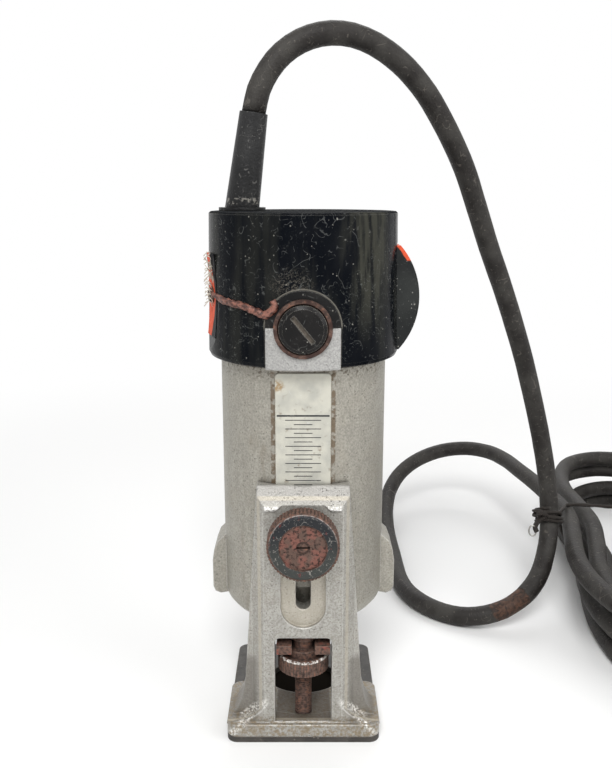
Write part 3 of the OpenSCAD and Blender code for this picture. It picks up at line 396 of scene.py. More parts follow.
def piece_of(name, made):
    """Turns a finished bmesh into a piece, with its four-sided faces smooth."""
    for face in made.faces:
        face.smooth = len(face.verts) == 4
    mesh = bpy.data.meshes.new(name)
    made.to_mesh(mesh)
    made.free()
    return stand(name, mesh)


def wear(mat, *pieces):
    for piece in pieces:
        piece.data.materials.append(mat)


def in_metres(route):
    return [Vector(p) / 1000 for p in route]


def cloudy(tree, size, detail=4.0, stretch=None, twist=0.0):
    """Soft noise between 0 and 1 with patches of about a size in metres."""
    made = put(tree, "TexNoise", Scale=1 / size, Detail=detail, Distortion=twist)
    wire(spot(tree, stretch), made.inputs["Vector"])
    return made.outputs[0]


def patches(tree, low, high, size, detail=4.0, **way):
    """The part of a soft noise that lies above low, whole from high on."""
    return between(cloudy(tree, size, detail, **way), low, high)


def tinted(colour, *layers):
    """A colour with layers over it, each a mask, the share it covers at most, and a tone."""
    for mask, share, tone in layers:
        colour = blended(times(mask, share), colour, tone)
    return colour


def ripples(tree, scale, bent, way):
    """Even waves between 0 and 1 across a way, or DIAGONAL, a little bent."""
    made = put(tree, "TexWave", Scale=scale, Distortion=bent, bands_direction=way)
    wire(spot(tree), made.inputs["Vector"])
    return made.outputs["Fac"]


def effect(name, values, outputs):
    """An empty node group with named number inputs and named outputs."""
    group = bpy.data.node_groups.new(name, "ShaderNodeTree")
    for label, value in values.items():
        socket = group.interface.new_socket(label, in_out="INPUT", socket_type="NodeSocketFloat")
        socket.default_value = value
    for label, kind in outputs.items():
        group.interface.new_socket(label, in_out="OUTPUT", socket_type="NodeSocket" + kind)
    return (
        group, group.nodes.new("NodeGroupInput").outputs, group.nodes.new("NodeGroupOutput").inputs
    )


def placed(tree, group, *values):
    """A node group in a material, with values for its inputs in their order."""
    made = put(tree, "Group", node_tree=group)
    for slot, value in zip(made.inputs, values):
        slot.default_value = value
    return made.outputs


def mask_of(tree, group, *values):
    return placed(tree, group, *values)["Mask"]


def scaled_noise(size, detail):
    """Noise in a group whose patches have the size that a socket gives."""
    made = put(size.id_data, "TexNoise", Detail=detail)
    wire(spot(size.id_data), made.inputs["Vector"])
    wire(maths("DIVIDE", 1.0, size), made.inputs["Scale"])
    return made.outputs[0]


# fine curly scratches, broken up, thinner where Amount is small
scratches, given, wanted = effect(
    "curly_scratches", {"Size": 0.006, "Amount": 0.5}, {"Mask": "Float"}
)


def hairlines(size, amount, width):
    """Thin bent lines, where a soft noise passes its middle, and only here and there."""
    off_middle = maths("ABSOLUTE", minus(scaled_noise(size, 1.0), 0.5))
    torn = plus(scaled_noise(times(size, 0.62), 2.0), times(amount, 0.3))
    return times(between(off_middle, width, width * 0.3), between(torn, 0.69, 0.78))


long_lines = hairlines(given["Size"], given["Amount"], 0.01)
short_lines = hairlines(times(given["Size"], 0.37), given["Amount"], 0.018)
wire(maths("MAXIMUM", long_lines, short_lines), wanted["Mask"])


def cells(size, scale):
    """Round cells of a size: how far their middles are, and a number for each."""
    made = put(size.id_data, "TexVoronoi")
    wire(spot(size.id_data), made.inputs["Vector"])
    wire(maths("DIVIDE", scale, size), made.inputs["Scale"])
    parts = put(size.id_data, "SeparateColor")
    wire(made.outputs["Color"], parts.inputs[0])
    return made.outputs["Distance"], parts.outputs[0]


# small round specks of lint and dust
specks, given, wanted = effect("dust_specks", {"Size": 0.002, "Amount": 0.3}, {"Mask": "Float"})
far, pick = cells(given["Size"], 1.0)
some = maths("LESS_THAN", pick, given["Amount"])
wire(times(between(far, 0.24, 0.12), some), wanted["Mask"])


def skin(name, **plain):
    """A material with one shader, whose even values sit on its own sockets."""
    mat, tree = new_material(name)
    body = put(tree, "BsdfPrincipled", **plain)
    out = put(tree, "OutputMaterial")
    wire(body.outputs[0], out.inputs[0])
    return mat, tree, body


def surface(body, colour, height=None, rise=0.0, normal=None, rough=None):
    """Joins a colour, a height in steps of rise metres and a roughness to a shader."""
    wire(colour, body.inputs["Base Color"])
    if rough is not None:
        wire(rough, body.inputs["Roughness"])
    if height is not None:
        bump = put(body.id_data, "Bump", Distance=rise, Strength=1.0)
        wire(height, bump.inputs["Height"])
        if normal is not None:
            wire(normal, bump.inputs["Normal"])
        wire(bump.outputs[0], body.inputs["Normal"])


def level(mask, low, high):
    """A number that runs from low to high with the mask."""
    made = put(mask.id_data, "MapRange", To_Min=low, To_Max=high)
    wire(mask, made.inputs[0])
    return made.outputs[0]


def rubber(name, dark, pale, lint, roughness=(0.5, 0.68)):
    """Old rubber: mottled, scuffed along its high spots, with lint in its pores."""
    mat, tree, body = skin(name, Specular_IOR_Level=0.22)
    mottle = patches(tree, 0.34, 0.7, 0.011, 5.0)
    colour = blended(mottle, dark, pale)
    scuff = mask_of(tree, scratches, 0.009, 0.55)
    colour = tinted(colour, (scuff, 0.3, lint), (mask_of(tree, specks, 0.0016, 0.16), 0.35, lint))
    wire(level(mottle, *roughness), body.inputs["Roughness"])
    fine = cloudy(tree, 0.0009, 3.0)
    height = minus(fine, times(scuff, 0.3))
    return mat, tree, body, colour, height


hank_route = [hank_point(i / rings_per_loop) for i in range(hank_loops * rings_per_loop + 1)]
cord_route = [cord_exit] + in_metres(lead_route + loop_route) + hank_route + in_metres(tail_route)
cord_line = smooth_line(cord_route, 0.004)
peeled_at = (0.0965, 0.0465, 0.0115)
peeled_r = 0.0115
peeled_flake = (0.0945, 0.0435, 0.0145)


def jacket(i, q, point):
    """The jacket's radius: a little uneven, with torn flakes where it has peeled."""
    r = cord_r * (1 + 0.02 * noise.noise(point * 160))
    near = (point - Vector(peeled_at)).length
    if near < peeled_r:
        r -= 0.0006 * abs(noise.noise(point * 420)) * ease((peeled_r - near) / 0.004)
    flake = (point - Vector(peeled_flake)).length
    return r + 0.0016 * ease(1 - flake / 0.0026)


cord = tube("power_cord", cord_line, jacket, 20)
mat, tree, body, colour, height = rubber("cord_jacket", (34, 31, 29), (60, 58, 55), (124, 118, 110))
peel = between(away_from(tree, peeled_at), peeled_r * 1.2, peeled_r * 0.5)
ragged = between(plus(peel, cloudy(tree, 0.007, 5.0)), 1.0, 1.2)
fibre = patches(tree, 0.35, 0.7, 0.0022, 4.0, twist=0.8)
colour = blended(ragged, colour, blended(fibre, (46, 36, 31), (86, 62, 50)))
height = minus(height, times(ragged, 1.5))
surface(body, colour, height, 0.00025)
wear(mat, cord)
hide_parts("cord_lead", "cord_loop", "cord_hank")
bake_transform(cord)

# String tie: dark waxed string wound once round the hank's waist and the cord, drawn in by hand
# and knotted on the cord, with a small loop of bright wire in the knot.
string_r = 0.00085
tie_route = [
    (134, 96, 40.6), (128.5, 86.5, 42), (121.7, 80.4, 42), (116.8, 79.1, 42.4),
    (114.7, 74.6, 43.8), (116.7, 70.3, 45.1), (121.6, 68.9, 44.9), (125.7, 71.4, 43.2),
    (126.2, 74.9, 41.3), (129.1, 86.5, 37.7), (131.4, 95, 35), (133.6, 103.6, 32.4),
    (139.3, 102.8, 18.5), (144.8, 102, 4.6), (146.2, 101.8, 2.3), (149.9, 101.3, 1.1),
    (176, 97.6, 1.1), (203.4, 93.8, 1.1), (207.8, 93.2, 3), (208.8, 93.1, 8.2),
    (202.8, 94, 22.6), (196.9, 94.8, 36.5), (195.2, 95, 38.9), (191.6, 95.5, 39.9),
    (165, 99.2, 39.9), (138.6, 102.9, 39.9), (134, 96, 40.6),
]
knot_at = Vector((0.1195, 0.0745, 0.0455))
knot_way = Vector((0.05, 0.37, 0.93)).normalized()


def strand(i, q, point):
    """The string's radius, lumpy from its twist and its wax."""
    return string_r * (1 + 0.16 * math.cos(2 * q + i * 0.9) + 0.18 * noise.noise(point * 600))


def round_the_cord(turns, low, high, reach, seed):
    """String wound round the cord at the knot, none of its turns quite alike."""
    side = knot_way.orthogonal().normalized()
    up = knot_way.cross(side)
    line = []
    count = round(turns * 18)
    for i in range(count + 1):
        q = 2 * math.pi * turns * i / count
        wander = noise.noise(Vector((i * 0.21, seed, 0)))
        r = cord_r + reach + 0.0007 * wander
        rise = low + (high - low) * i / count + 0.0013 * wander
        line.append(knot_at + r * (math.cos(q) * side + math.sin(q) * up) + rise * knot_way)
    return line


def joined(name, pieces):
    """Several pieces made into one, in the order given."""
    made = bmesh.new()
    for part in pieces:
        made.from_mesh(part.data)
        bpy.data.meshes.remove(part.data)
    return piece_of(name, made)


tie = tube("string_tie", smooth_line(in_metres(tie_route), 0.0015)[:-1], strand, 10, closed=True)
lump = [Vector(p) for p in (
    (0.1148, 0.0702, 0.0462), (0.1136, 0.069, 0.048), (0.115, 0.0676, 0.0494),
    (0.117, 0.0682, 0.048), (0.116, 0.0694, 0.0462), (0.1134, 0.0684, 0.0446),
    (0.1118, 0.0672, 0.042), (0.1126, 0.0664, 0.04),
)]
knot = joined("string_knot", [
    tube("turns_a", round_the_cord(2.6, -0.0036, 0.003, 0.001, 3.0), strand, 8),
    tube("turns_b", round_the_cord(2.2, 0.0026, -0.002, 0.0021, 8.0), strand, 8),
    tube("lump", smooth_line(lump, 0.0008), 0.0012, 8),
])
mat, tree, body = skin("waxed_string", Specular_IOR_Level=0.3)
twist = ripples(tree, 900.0, 3.0, "DIAGONAL")
surface(
    body, blended(twist, (34, 30, 28), (66, 60, 55)), twist, 0.0003,
    rough=level(cloudy(tree, 0.003), 0.55, 0.8),
)
wear(mat, tie, knot)
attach(tie, "base")
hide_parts("cord_tie")
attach(knot, "base")

wire_r = 0.00035
loop_at = Vector((0.1105, 0.0665, 0.0405))
wire_line = []
for q in range(24):
    turn = q / 12 * math.pi
    loop = (0.0017 * math.cos(turn), 0.0006 * math.sin(q / 6), 0.0026 * math.sin(turn))
    wire_line.append(loop_at + Vector(loop))
knot_wire = tube("knot_wire", wire_line, wire_r, 8, closed=True)
mat, tree, body = skin("bright_wire", Metallic=1.0)
tarnish = cloudy(tree, 0.002)
surface(body, blended(tarnish, (198, 196, 190), (120, 116, 108)), rough=level(tarnish, 0.25, 0.5))
wear(mat, knot_wire)
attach(knot_wire, "base")

# Plug: black moulded rubber round the end of the tail, with two flat brass blades and a round
# earth pin pressed into its face. It lies on the floor in front of the hank.


def dress(mat, *nodes):
    for node in nodes:
        for slot in cad[node].material_slots:
            slot.material = mat


def coat(look, rise, *nodes):
    """Lays a look on CAD nodes, with its height in steps of rise metres."""
    mat, tree, body, colour, height, *normal = look
    surface(body, colour, height, rise, *normal)
    dress(mat, *nodes)


coat(
    rubber("plug_rubber", (34, 33, 32), (52, 50, 48), (110, 106, 100), (0.42, 0.6)), 0.0002,
    "plug_body",
)


def metal(name, bright, dull, roughness=(0.3, 0.5), metallic=0.9, patch=0.006):
    """Bare metal: bright and dull patches, and fine lines left by the tool."""
    mat, tree, body = skin(name, Metallic=metallic)
    haze = patches(tree, 0.35, 0.7, patch, 5.0)
    colour = blended(haze, bright, dull)
    lines = cloudy(tree, 0.0011, 2.0, stretch=(1, 1, 9))
    wire(level(haze, *roughness), body.inputs["Roughness"])
    return mat, tree, body, colour, lines


coat(metal("brass_pins", (188, 160, 96), (132, 104, 62)), 0.00006, "plug_blades")

# Base plate: a thin dark laminated board on which the tool slides. Its edges are rubbed pale and
# show the layers; four countersunk screws hold it up against the foot.

# worn high edges, found by the difference from a rounded normal
worn_edges, given, wanted = effect(
    "worn_edges", {"Radius": 0.0006, "Breakup": 0.5}, {"Mask": "Float", "Normal": "Vector"}
)
soft = put(worn_edges, "Bevel", samples=5)
wire(given["Radius"], soft.inputs["Radius"])
turn = put(worn_edges, "VectorMath", operation="DOT_PRODUCT")
wire(soft.outputs[0], turn.inputs[0])
wire(put(worn_edges, "NewGeometry").outputs["Normal"], turn.inputs[1])
edge = between(turn.outputs["Value"], 0.995, 0.86)
chips = times(minus(cloudy(worn_edges, 0.0022, 6.0), 0.5), given["Breakup"])
wire(between(plus(edge, times(chips, 3.0)), 0.25, 0.75), wanted["Mask"])
wire(soft.outputs[0], wanted["Normal"])

# darkening in corners and under overhangs, found by ambient occlusion
occlusion_darkening, given, wanted = effect(
    "occlusion_darkening", {"Reach": 0.003, "Amount": 0.5}, {"Mask": "Float"}
)
shut = put(occlusion_darkening, "AmbientOcclusion", samples=6)
wire(given["Reach"], shut.inputs["Distance"])
dark = minus(1.0, shut.outputs["AO"])
mottle = times(minus(cloudy(occlusion_darkening, 0.0018, 6.0), 0.45), 0.7)
darkening = plus(times(dark, given["Amount"]), times(mottle, dark))
wire(between(darkening, 0.12, 0.5), wanted["Mask"])

mat, tree, body = skin("laminate_board", Specular_IOR_Level=0.35)
layers = ripples(tree, 420.0, 1.2, "Z")
colour = blended(patches(tree, 0.35, 0.7, 0.007, 5.0), (42, 41, 40), (66, 63, 60))
rub = placed(tree, worn_edges, 0.0008, 0.7)
colour = tinted(colour, (layers, 0.35, (84, 78, 70)), (rub["Mask"], 0.6, (118, 110, 100)))
surface(
    body, tinted(colour, (mask_of(tree, specks, 0.0018, 0.2), 0.4, (150, 144, 134))),
    cloudy(tree, 0.0008), 0.00012, rub["Normal"], rough=level(cloudy(tree, 0.004), 0.42, 0.65),
)
dress(mat, "sub_base")

# rust in blooms, from dark brown to orange, and its crust
rust_bloom, given, wanted = effect(
    "rust_bloom", {"Size": 0.002, "Amount": 0.5},
    {"Mask": "Float", "Color": "Color", "Height": "Float"},
)
crust = scaled_noise(given["Size"], 6.0)
shift = minus(crust, minus(0.85, times(given["Amount"], 0.7)))
wire(between(shift, -0.05, 0.06), wanted["Mask"])
tone = cloudy(rust_bloom, 0.0011, 5.0)
deep = blended(between(tone, 0.34, 0.54), (66, 52, 46), (106, 82, 72))
wire(blended(between(tone, 0.55, 0.68), deep, (132, 92, 74)), wanted["Color"])
wire(cloudy(rust_bloom, 0.0006, 5.0), wanted["Height"])


def rusty(name, bare, amount, size=0.0022, edge_shine=0.8, metallic=0.4):
    """Steel gone brown: rust over bare metal, rubbed back to it on the edges."""
    mat, tree, body = skin(name, Metallic=metallic)
    bloom = placed(tree, rust_bloom, size, amount)
    rub = placed(tree, worn_edges, 0.0004, 0.9)
    left = minus(bloom["Mask"], times(rub["Mask"], edge_shine))
    left = between(left, 0.0, 0.6)
    colour = blended(left, bare, bloom["Color"])
    # darker in corners and under overhangs, from ambient occlusion
    colour = tinted(colour, (mask_of(tree, occlusion_darkening, 0.0015, 0.9), 0.75, (38, 31, 27)))
    wire(level(left, 0.35, 0.78), body.inputs["Roughness"])
    return mat, tree, body, colour, bloom["Height"], rub["Normal"]


coat(rusty("plate_screw_steel", (150, 144, 136), 0.55), 0.0001, "sub_base_screws")

# Base bracket: one sand casting in light alloy, foot and column together. The window, the slot
# and the recess are milled. The bright band on its lip and the bright edges of its flares are
# painted highlights, and the darker top of the lip, sides of the flares and inside of the window
# are painted shade.

# the sandy skin of a casting: grain, and dark pits in it
cast_skin, given, wanted = effect(
    "cast_skin", {"Size": 0.0009, "Pits": 0.4}, {"Height": "Float", "Pit": "Float", "Tone": "Float"}
)
fine = scaled_noise(given["Size"], 6.0)
wide = scaled_noise(times(given["Size"], 7.0), 4.0)
far, pick = cells(given["Size"], 0.8)
deep = maths("LESS_THAN", pick, times(given["Pits"], between(wide, 0.38, 0.66)))
pit = times(between(far, 0.42, 0.15), deep)
wire(minus(fine, times(pit, 0.8)), wanted["Height"])
wire(pit, wanted["Pit"])
wire(between(plus(times(fine, 0.75), times(wide, 0.25)), 0.36, 0.64), wanted["Tone"])


def casting(name, pale, dull, size=0.0009, pits=0.4, metallic=0.45):
    """Bare cast alloy: sandy skin, worn edges, and corners darkened by ambient occlusion."""
    mat, tree, body = skin(name, Metallic=metallic)
    sand = placed(tree, cast_skin, size, pits)
    colour = blended(sand["Tone"], dull, pale)
    stain = patches(tree, 0.5, 0.75, 0.016, 5.0, twist=0.6)
    filed = patches(tree, 0.36, 0.66, 0.0022, 4.0, stretch=(1, 1, 0.14))
    rub = placed(tree, worn_edges, 0.0009, 0.5)
    # the last layer darkens corners and overhangs, from ambient occlusion
    colour = tinted(
        colour, (stain, 0.25, (150, 142, 126)), (filed, 0.3, dull),
        (sand["Pit"], 0.6, (78, 73, 66)), (rub["Mask"], 0.6, (222, 220, 215)),
        (mask_of(tree, occlusion_darkening, 0.0035, 0.6), 0.7, (66, 56, 44)),
    )
    wire(level(rub["Mask"], 0.46, 0.32), body.inputs["Roughness"])
    return mat, tree, body, colour, sand["Height"], rub["Normal"]


def axes(tree):
    """The three measures of a point, in metres of the frame."""
    made = put(tree, "SeparateXYZ")
    wire(spot(tree), made.inputs[0])
    return made.outputs


def band(value, low, high, soft):
    """1 from low to high, and 0 a little outside."""
    return times(between(value, low - soft, low), between(value, high + soft, high))


mat, tree, body, colour, height, normal = casting(
    "bracket_casting", (178, 176, 170), (146, 143, 136), 0.0006, 0.35
)
x, y, z = axes(tree)
wide = maths("ABSOLUTE", x)
# painted highlight: a bright band along the lip's lower front edge, broken up into glints
shine = times(band(z, 0.0905, 0.0932, 0.0015), between(y, -0.0366, -0.0372))
# painted shade: the upper part of the lip's slope is darker
upper = times(between(z, 0.0925, 0.0955), between(y, -0.03, -0.032))
glint_breakup = patches(tree, 0.4, 0.6, 0.0008, 4.0)
# painted shade on the concave sides of the flares beside the column
shaded = times(band(wide, 0.0185, 0.034, 0.003), band(z, 0.0085, 0.03, 0.004))
# painted highlight: a bright line along the lower edge of each flare
slope = plus(z, times(wide, 0.92))
flare_glint = times(band(slope, 0.0272, 0.0288, 0.0016), band(wide, 0.015, 0.0265, 0.003))
flare_glint = times(flare_glint, between(y, -0.025, -0.03))
low = times(between(z, 0.0115, 0.0065), patches(tree, 0.38, 0.66, 0.0011, 6.0))
# painted shade: the inside of the window, below the nut, is darker
inside = times(between(y, -0.0362, -0.0345), between(wide, 0.0108, 0.0098))
inside = times(inside, between(z, 0.046, 0.043))
milled = band(y, -0.0352, -0.0344, 0.0003)
colour = tinted(
    colour, (upper, 0.6, (138, 136, 133)), (times(shine, glint_breakup), 0.9, (236, 235, 232)),
    (shaded, 0.65, (104, 99, 92)), (times(flare_glint, glint_breakup), 0.85, (240, 238, 233)),
    (low, 0.75, (128, 110, 80)), (inside, 0.75, (88, 78, 66)), (milled, 0.4, (196, 186, 166)),
)
surface(body, colour, height, 0.00022, normal)
dress(mat, "base_bracket")

# Depth stud: a quarter inch steel stud with 32 threads an inch, screwed into the foot. It stands
# in the window, rusted red, and carries the knurled nut.
stud_y = -0.0285
stud_r = 0.003175
stud_low = 0.0025
stud_top = 0.041
thread_pitch = 0.0254 / 32
thread_depth = 0.0004
stud_sides = 36


def threaded_rod(name, low, high, r, pitch, depth, chamfer):
    """A rod whose radius follows a thread, closed by flat ends."""
    made = bmesh.new()
    count = round((high - low) / (pitch / 7))
    rings = []
    for i in range(count + 1):
        z = low + (high - low) * i / count
        ring = []
        for k in range(stud_sides):
            q = 2 * math.pi * k / stud_sides
            phase = (z / pitch - k / stud_sides) % 1
            cut = depth * (1 - abs(2 * phase - 1)) if low + pitch < z else 0.0
            worn = 0.00006 * noise.noise(Vector((math.cos(q) * 4, math.sin(q) * 4, z * 900)))
            out = min(r - cut + worn, r - chamfer + max(0.0, high - z))
            ring.append(made.verts.new((out * math.cos(q), stud_y + out * math.sin(q), z)))
        rings.append(ring)
    return ringed(name, made, rings)


stud = threaded_rod("threaded_stud", stud_low, stud_top, stud_r, thread_pitch, thread_depth, 0.0008)
mat, tree, body, colour, height, normal = rusty("stud_steel", (142, 118, 104), 0.95, 0.003, 0.35)
surface(body, colour, height, 0.00008)
wear(mat, stud)
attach(stud, "base")
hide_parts("depth_stud")

# Depth nut, fork and fork screws: a turned steel nut with a straight knurl, its neck held in a
# steel fork that two screws fasten under the housing. A painted glint lights the knurl's tips
# along its top edge.
mat, tree, body, colour, height, normal = rusty(
    "nut_steel", (140, 128, 118), 0.86, 0.0026, 0.7, 0.4
)
z = axes(tree)[2]
# painted glint: bright tips along the knurl's top edge
glint_tips = between(away_from(tree, (0, stud_y, 0), (1, 1, 0)), 0.0086, 0.0092)
top_edge = band(z, 0.0321, 0.033, 0.0003)
glint = patches(tree, 0.42, 0.56, 0.0014, 3.0)
bright = times(glint_tips, top_edge, glint)
surface(body, blended(bright, colour, (232, 228, 222)), height, 0.0001, normal)
dress(mat, "adjusting_nut")

mat, tree, body, colour, height, normal = rusty("fork_steel", (138, 122, 110), 0.85, 0.003, 0.7)
red = patches(tree, 0.58, 0.66, 0.0028, 3.0)
surface(body, tinted(colour, (red, 0.5, (158, 84, 72))), height, 0.00012, normal)
dress(mat, "adjuster_fork")
fork_edges = cad["adjuster_fork"].modifiers.new("rounded", "BEVEL")
fork_edges.width = 0.0009
fork_edges.segments = 3

screw_look = rusty("small_screw_steel", (156, 150, 142), 0.45, 0.0018)
coat(screw_look, 0.00006, "fork_screws", "end_cap_screws")

# Lock knob, stud and washer: a knurled steel knob blackened in oil, with a shallow turned face
# now pitted with red rust. The slotted stud runs through it into the housing.
knob_axis = (0, 0, 0.0811)
face_r = 0.00835
rim_r = 0.0119

mat, tree, body, colour, height, normal = rusty("knob_steel", (104, 92, 84), 0.75, 0.0018, 0.4, 0.4)
y, z = axes(tree)[1:]
off_axis = away_from(tree, knob_axis, (1, 0, 1))
front = between(y, -0.0425, -0.045)
# painted shading: the black ring is bluish black at its top and greyer towards its bottom
high = between(z, 0.075, 0.088)
black = blended(high, (58, 61, 58), (24, 27, 33))
black = tinted(black, (cloudy(tree, 0.004, 4.0), 0.5, (40, 41, 41)))
marks = times(mask_of(tree, scratches, 0.0045, 0.6), 0.7)
marks = maths("MAXIMUM", marks, times(mask_of(tree, specks, 0.0013, 0.3), 0.6))
black = blended(marks, black, (150, 146, 140))
flecks = patches(tree, 0.64, 0.7, 0.0022, 4.0)
black = tinted(black, (flecks, 0.6, (112, 44, 40)))
off_face = between(off_axis, face_r - 0.0001, face_r + 0.0002)
in_rim = between(off_axis, rim_r + 0.0003, rim_r - 0.0003)
ring = times(front, times(off_face, in_rim))
colour = blended(ring, colour, black)
pits = patches(tree, 0.34, 0.5, 0.0012, 6.0)
ruddy = blended(patches(tree, 0.42, 0.6, 0.0036, 4.0), (96, 75, 66), (124, 82, 72))
disc_colour = blended(pits, (54, 40, 35), ruddy)
haze = times(patches(tree, 0.55, 0.72, 0.0045, 3.0), 0.35)
disc_colour = blended(haze, disc_colour, (116, 98, 90))
edge_wander = plus(off_axis, times(minus(cloudy(tree, 0.003), 0.5), 0.0022))
disc = times(front, between(edge_wander, face_r + 0.0002, face_r - 0.0003))
colour = blended(disc, colour, disc_colour)
# painted glint: a bright line on the knurl's tips along its upper front edge
glint_tips = times(between(off_axis, 0.0117, 0.0121), band(y, -0.0464, -0.0456, 0.0003))
glint_tips = times(glint_tips, between(z, 0.079, 0.086))
glint_tips = times(glint_tips, patches(tree, 0.36, 0.55, 0.0012, 4.0))
colour = tinted(colour, (glint_tips, 0.9, (214, 210, 206)))
rough = minus(0.68, times(ring, 0.34))
height = plus(height, times(disc, pits, 1.5))
surface(body, colour, height, 0.00014, normal, rough=rough)
dress(mat, "lock_knob")

mat, tree, body, colour, height, normal = rusty("lock_stud_steel", (118, 96, 86), 0.9, 0.0016, 0.4)
# painted shade: a dark ring just inside the edge of the stud's end
stud_rim_shade = band(away_from(tree, knob_axis, (1, 0, 1)), 0.0017, 0.0021, 0.0002)
colour = tinted(colour, (stud_rim_shade, 0.75, (44, 31, 27)))
surface(body, colour, height, 0.00008, normal)
dress(mat, "lock_stud")

mat, tree, body, colour, lines = metal("washer_steel", (168, 162, 154), (118, 108, 98))
spots = placed(tree, rust_bloom, 0.002, 0.3)
surface(body, blended(spots["Mask"], colour, spots["Color"]), lines, 0.00005)
dress(mat, "lock_washer")

# Motor housing: one sand casting with a domed floor, two ears and the flat that slides in the
# bracket. Its two tabs reach up under the brush holders, filed smooth and brighter.
mat, tree, body, colour, height, normal = casting(
    "housing_casting", (168, 164, 154), (140, 137, 128), 0.0007, 0.32
)
x, y, z = axes(tree)
wide = maths("ABSOLUTE", x)
channel = times(band(wide, 0.0101, 0.0112, 0.0004), between(y, -0.027, -0.028))
channel = times(channel, patches(tree, 0.4, 0.55, 0.0024, 5.0))
under_cap = times(between(z, 0.1335, 0.1405), patches(tree, 0.54, 0.62, 0.0012, 6.0))
colour = tinted(colour, (channel, 0.75, (92, 72, 48)), (under_cap, 0.75, (74, 62, 46)))
tab = between(z, 0.1409, 0.1412)
silver = blended(patches(tree, 0.3, 0.68, 0.0006, 5.0), (150, 149, 147), (178, 177, 174))
silver = tinted(silver, (mask_of(tree, specks, 0.0012, 0.22), 0.4, (110, 107, 101)))
colour = blended(tab, colour, silver)
runs = patches(tree, 0.6, 0.72, 0.005, 4.0, stretch=(1, 1, 0.25))
colour = tinted(colour, (runs, 0.25, (112, 98, 78)))
surface(body, colour, height, 0.00024, normal)
dress(mat, "motor_housing")

# Scale plate: a thin metal plate, painted pale grey and printed, glued to the flat. The printed
# graduations stand on it as their own thin marks: a heavy rule and a tick each sixteenth inch.
plate_y = -0.0296
mat, tree, body = skin("painted_plate", Metallic=0.3, Specular_IOR_Level=0.4)
colour = blended(patches(tree, 0.35, 0.7, 0.006, 4.0), (198, 196, 184), (178, 177, 168))
stain = between(away_from(tree, (-0.0088, plate_y, 0.1345)), 0.003, 0.001)
stain = times(stain, patches(tree, 0.4, 0.6, 0.0015))
rub = placed(tree, worn_edges, 0.0004, 0.8)
colour = tinted(
    colour, (stain, 0.8, (150, 116, 64)),
    (mask_of(tree, scratches, 0.007, 0.4), 0.4, (206, 206, 202)),
    (rub["Mask"], 0.7, (112, 90, 66)),
)
surface(
    body, colour, cloudy(tree, 0.0007), 0.00005, rub["Normal"],
    rough=level(cloudy(tree, 0.004), 0.34, 0.5),
)
dress(mat, "scale_plate")

rule_z = 0.1238
tick_gap = 0.0015875
tick_t = 0.00028
made = bmesh.new()


def printed_bar(left, right, low, high):
    """A thin printed mark on the plate, with bevelled ends."""
    nip = (high - low) * 0.3
    outline = (
        (left + nip, low), (right - nip, low), (right, low + nip), (right, high - nip),
        (right - nip, high), (left + nip, high), (left, high - nip), (left, low + nip),
    )
    back = [made.verts.new((px, plate_y + 0.00002, pz)) for px, pz in outline]
    front = [made.verts.new((px, plate_y - 0.00004, pz)) for px, pz in outline]
    made.faces.new(front)
    made.faces.new(list(reversed(back)))
    for k in range(8):
        m = (k + 1) % 8
        made.faces.new((front[m], front[k], back[k], back[m]))


printed_bar(-0.0093, 0.0093, rule_z - 0.0003, rule_z + 0.0003)
for k in range(1, 17):
    half = 0.00635 if k % 2 else 0.0033
    tick_z = rule_z - k * tick_gap
    printed_bar(-half, half, tick_z - tick_t / 2, tick_z + tick_t / 2)
ticks = piece_of("scale_marks", made)
mat, tree, body = skin("printing_ink", Specular_IOR_Level=0.3)
faded = patches(tree, 0.56, 0.7, 0.0012, 4.0)
surface(body, tinted((46, 48, 50), (faded, 0.55, (128, 128, 124))), rough=level(faded, 0.5, 0.65))
wear(mat, ticks)
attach(ticks, "motor")

# Brush holders: a black arch, a pressed steel tube with a rolled ring and a slotted moulded cap,
# front and back alike. Rings have rusted, and the caps' rims and slots are rubbed grey.
brush_z = 0.1554


def moulding(
    name, dark, pale, roughness=(0.22, 0.42), shine=0.16, scratch_size=0.007, scratch_amount=0.5
):
    """Black moulding: polished once, now hazed, with curly scratches and dust."""
    mat, tree, body = skin(name, Specular_IOR_Level=shine)
    haze = patches(tree, 0.4, 0.75, 0.012, 5.0)
    colour = blended(haze, dark, pale)
    marks = mask_of(tree, scratches, scratch_size, scratch_amount)
    colour = tinted(
        colour, (marks, 0.32, (112, 114, 112)),
        (mask_of(tree, specks, 0.0014, 0.12), 0.6, (150, 148, 140)),
    )
    rough = level(maths("MAXIMUM", haze, marks), *roughness)
    wire(rough, body.inputs["Roughness"])
    height = minus(cloudy(tree, 0.004, 2.0), times(marks, 0.15))
    return mat, tree, body, colour, height


mat, tree, body, colour, height = moulding("arch_moulding", (16, 16, 17), (34, 33, 32), (0.3, 0.5))
rub = placed(tree, worn_edges, 0.0004, 0.6)
colour = tinted(colour, (rub["Mask"], 0.6, (112, 110, 106)))
surface(body, colour, height, 0.00006, rub["Normal"])
dress(mat, "brush_insert_front", "brush_insert_rear")

mat, tree, body, colour, height, normal = rusty("brush_tube_steel", (96, 76, 66), 0.85, 0.002, 0.3)
surface(
    body, blended(patches(tree, 0.35, 0.65, 0.003), colour, (54, 36, 31)), height, 0.0001, normal
)
dress(mat, "brush_tube_front", "brush_tube_rear")

mat, tree, body, colour, height = moulding(
    "brush_cap_moulding", (15, 14, 14), (30, 28, 27), (0.2, 0.4), 0.2
)
y = axes(tree)[1]
out = maths("ABSOLUTE", y)
off_axis = away_from(tree, (0, 0, brush_z), (1, 0, 1))
slot_floor = times(between(off_axis, 0.0056, 0.0052), band(out, 0.032, 0.0374, 0.0002))
colour = blended(slot_floor, colour, blended(cloudy(tree, 0.0012), (62, 54, 48), (116, 108, 98)))
rub = placed(tree, worn_edges, 0.0005, 0.5)
colour = tinted(colour, (rub["Mask"], 0.8, (142, 138, 130)))
surface(body, colour, height, 0.00006, rub["Normal"])
dress(mat, "brush_cap_front", "brush_cap_rear")
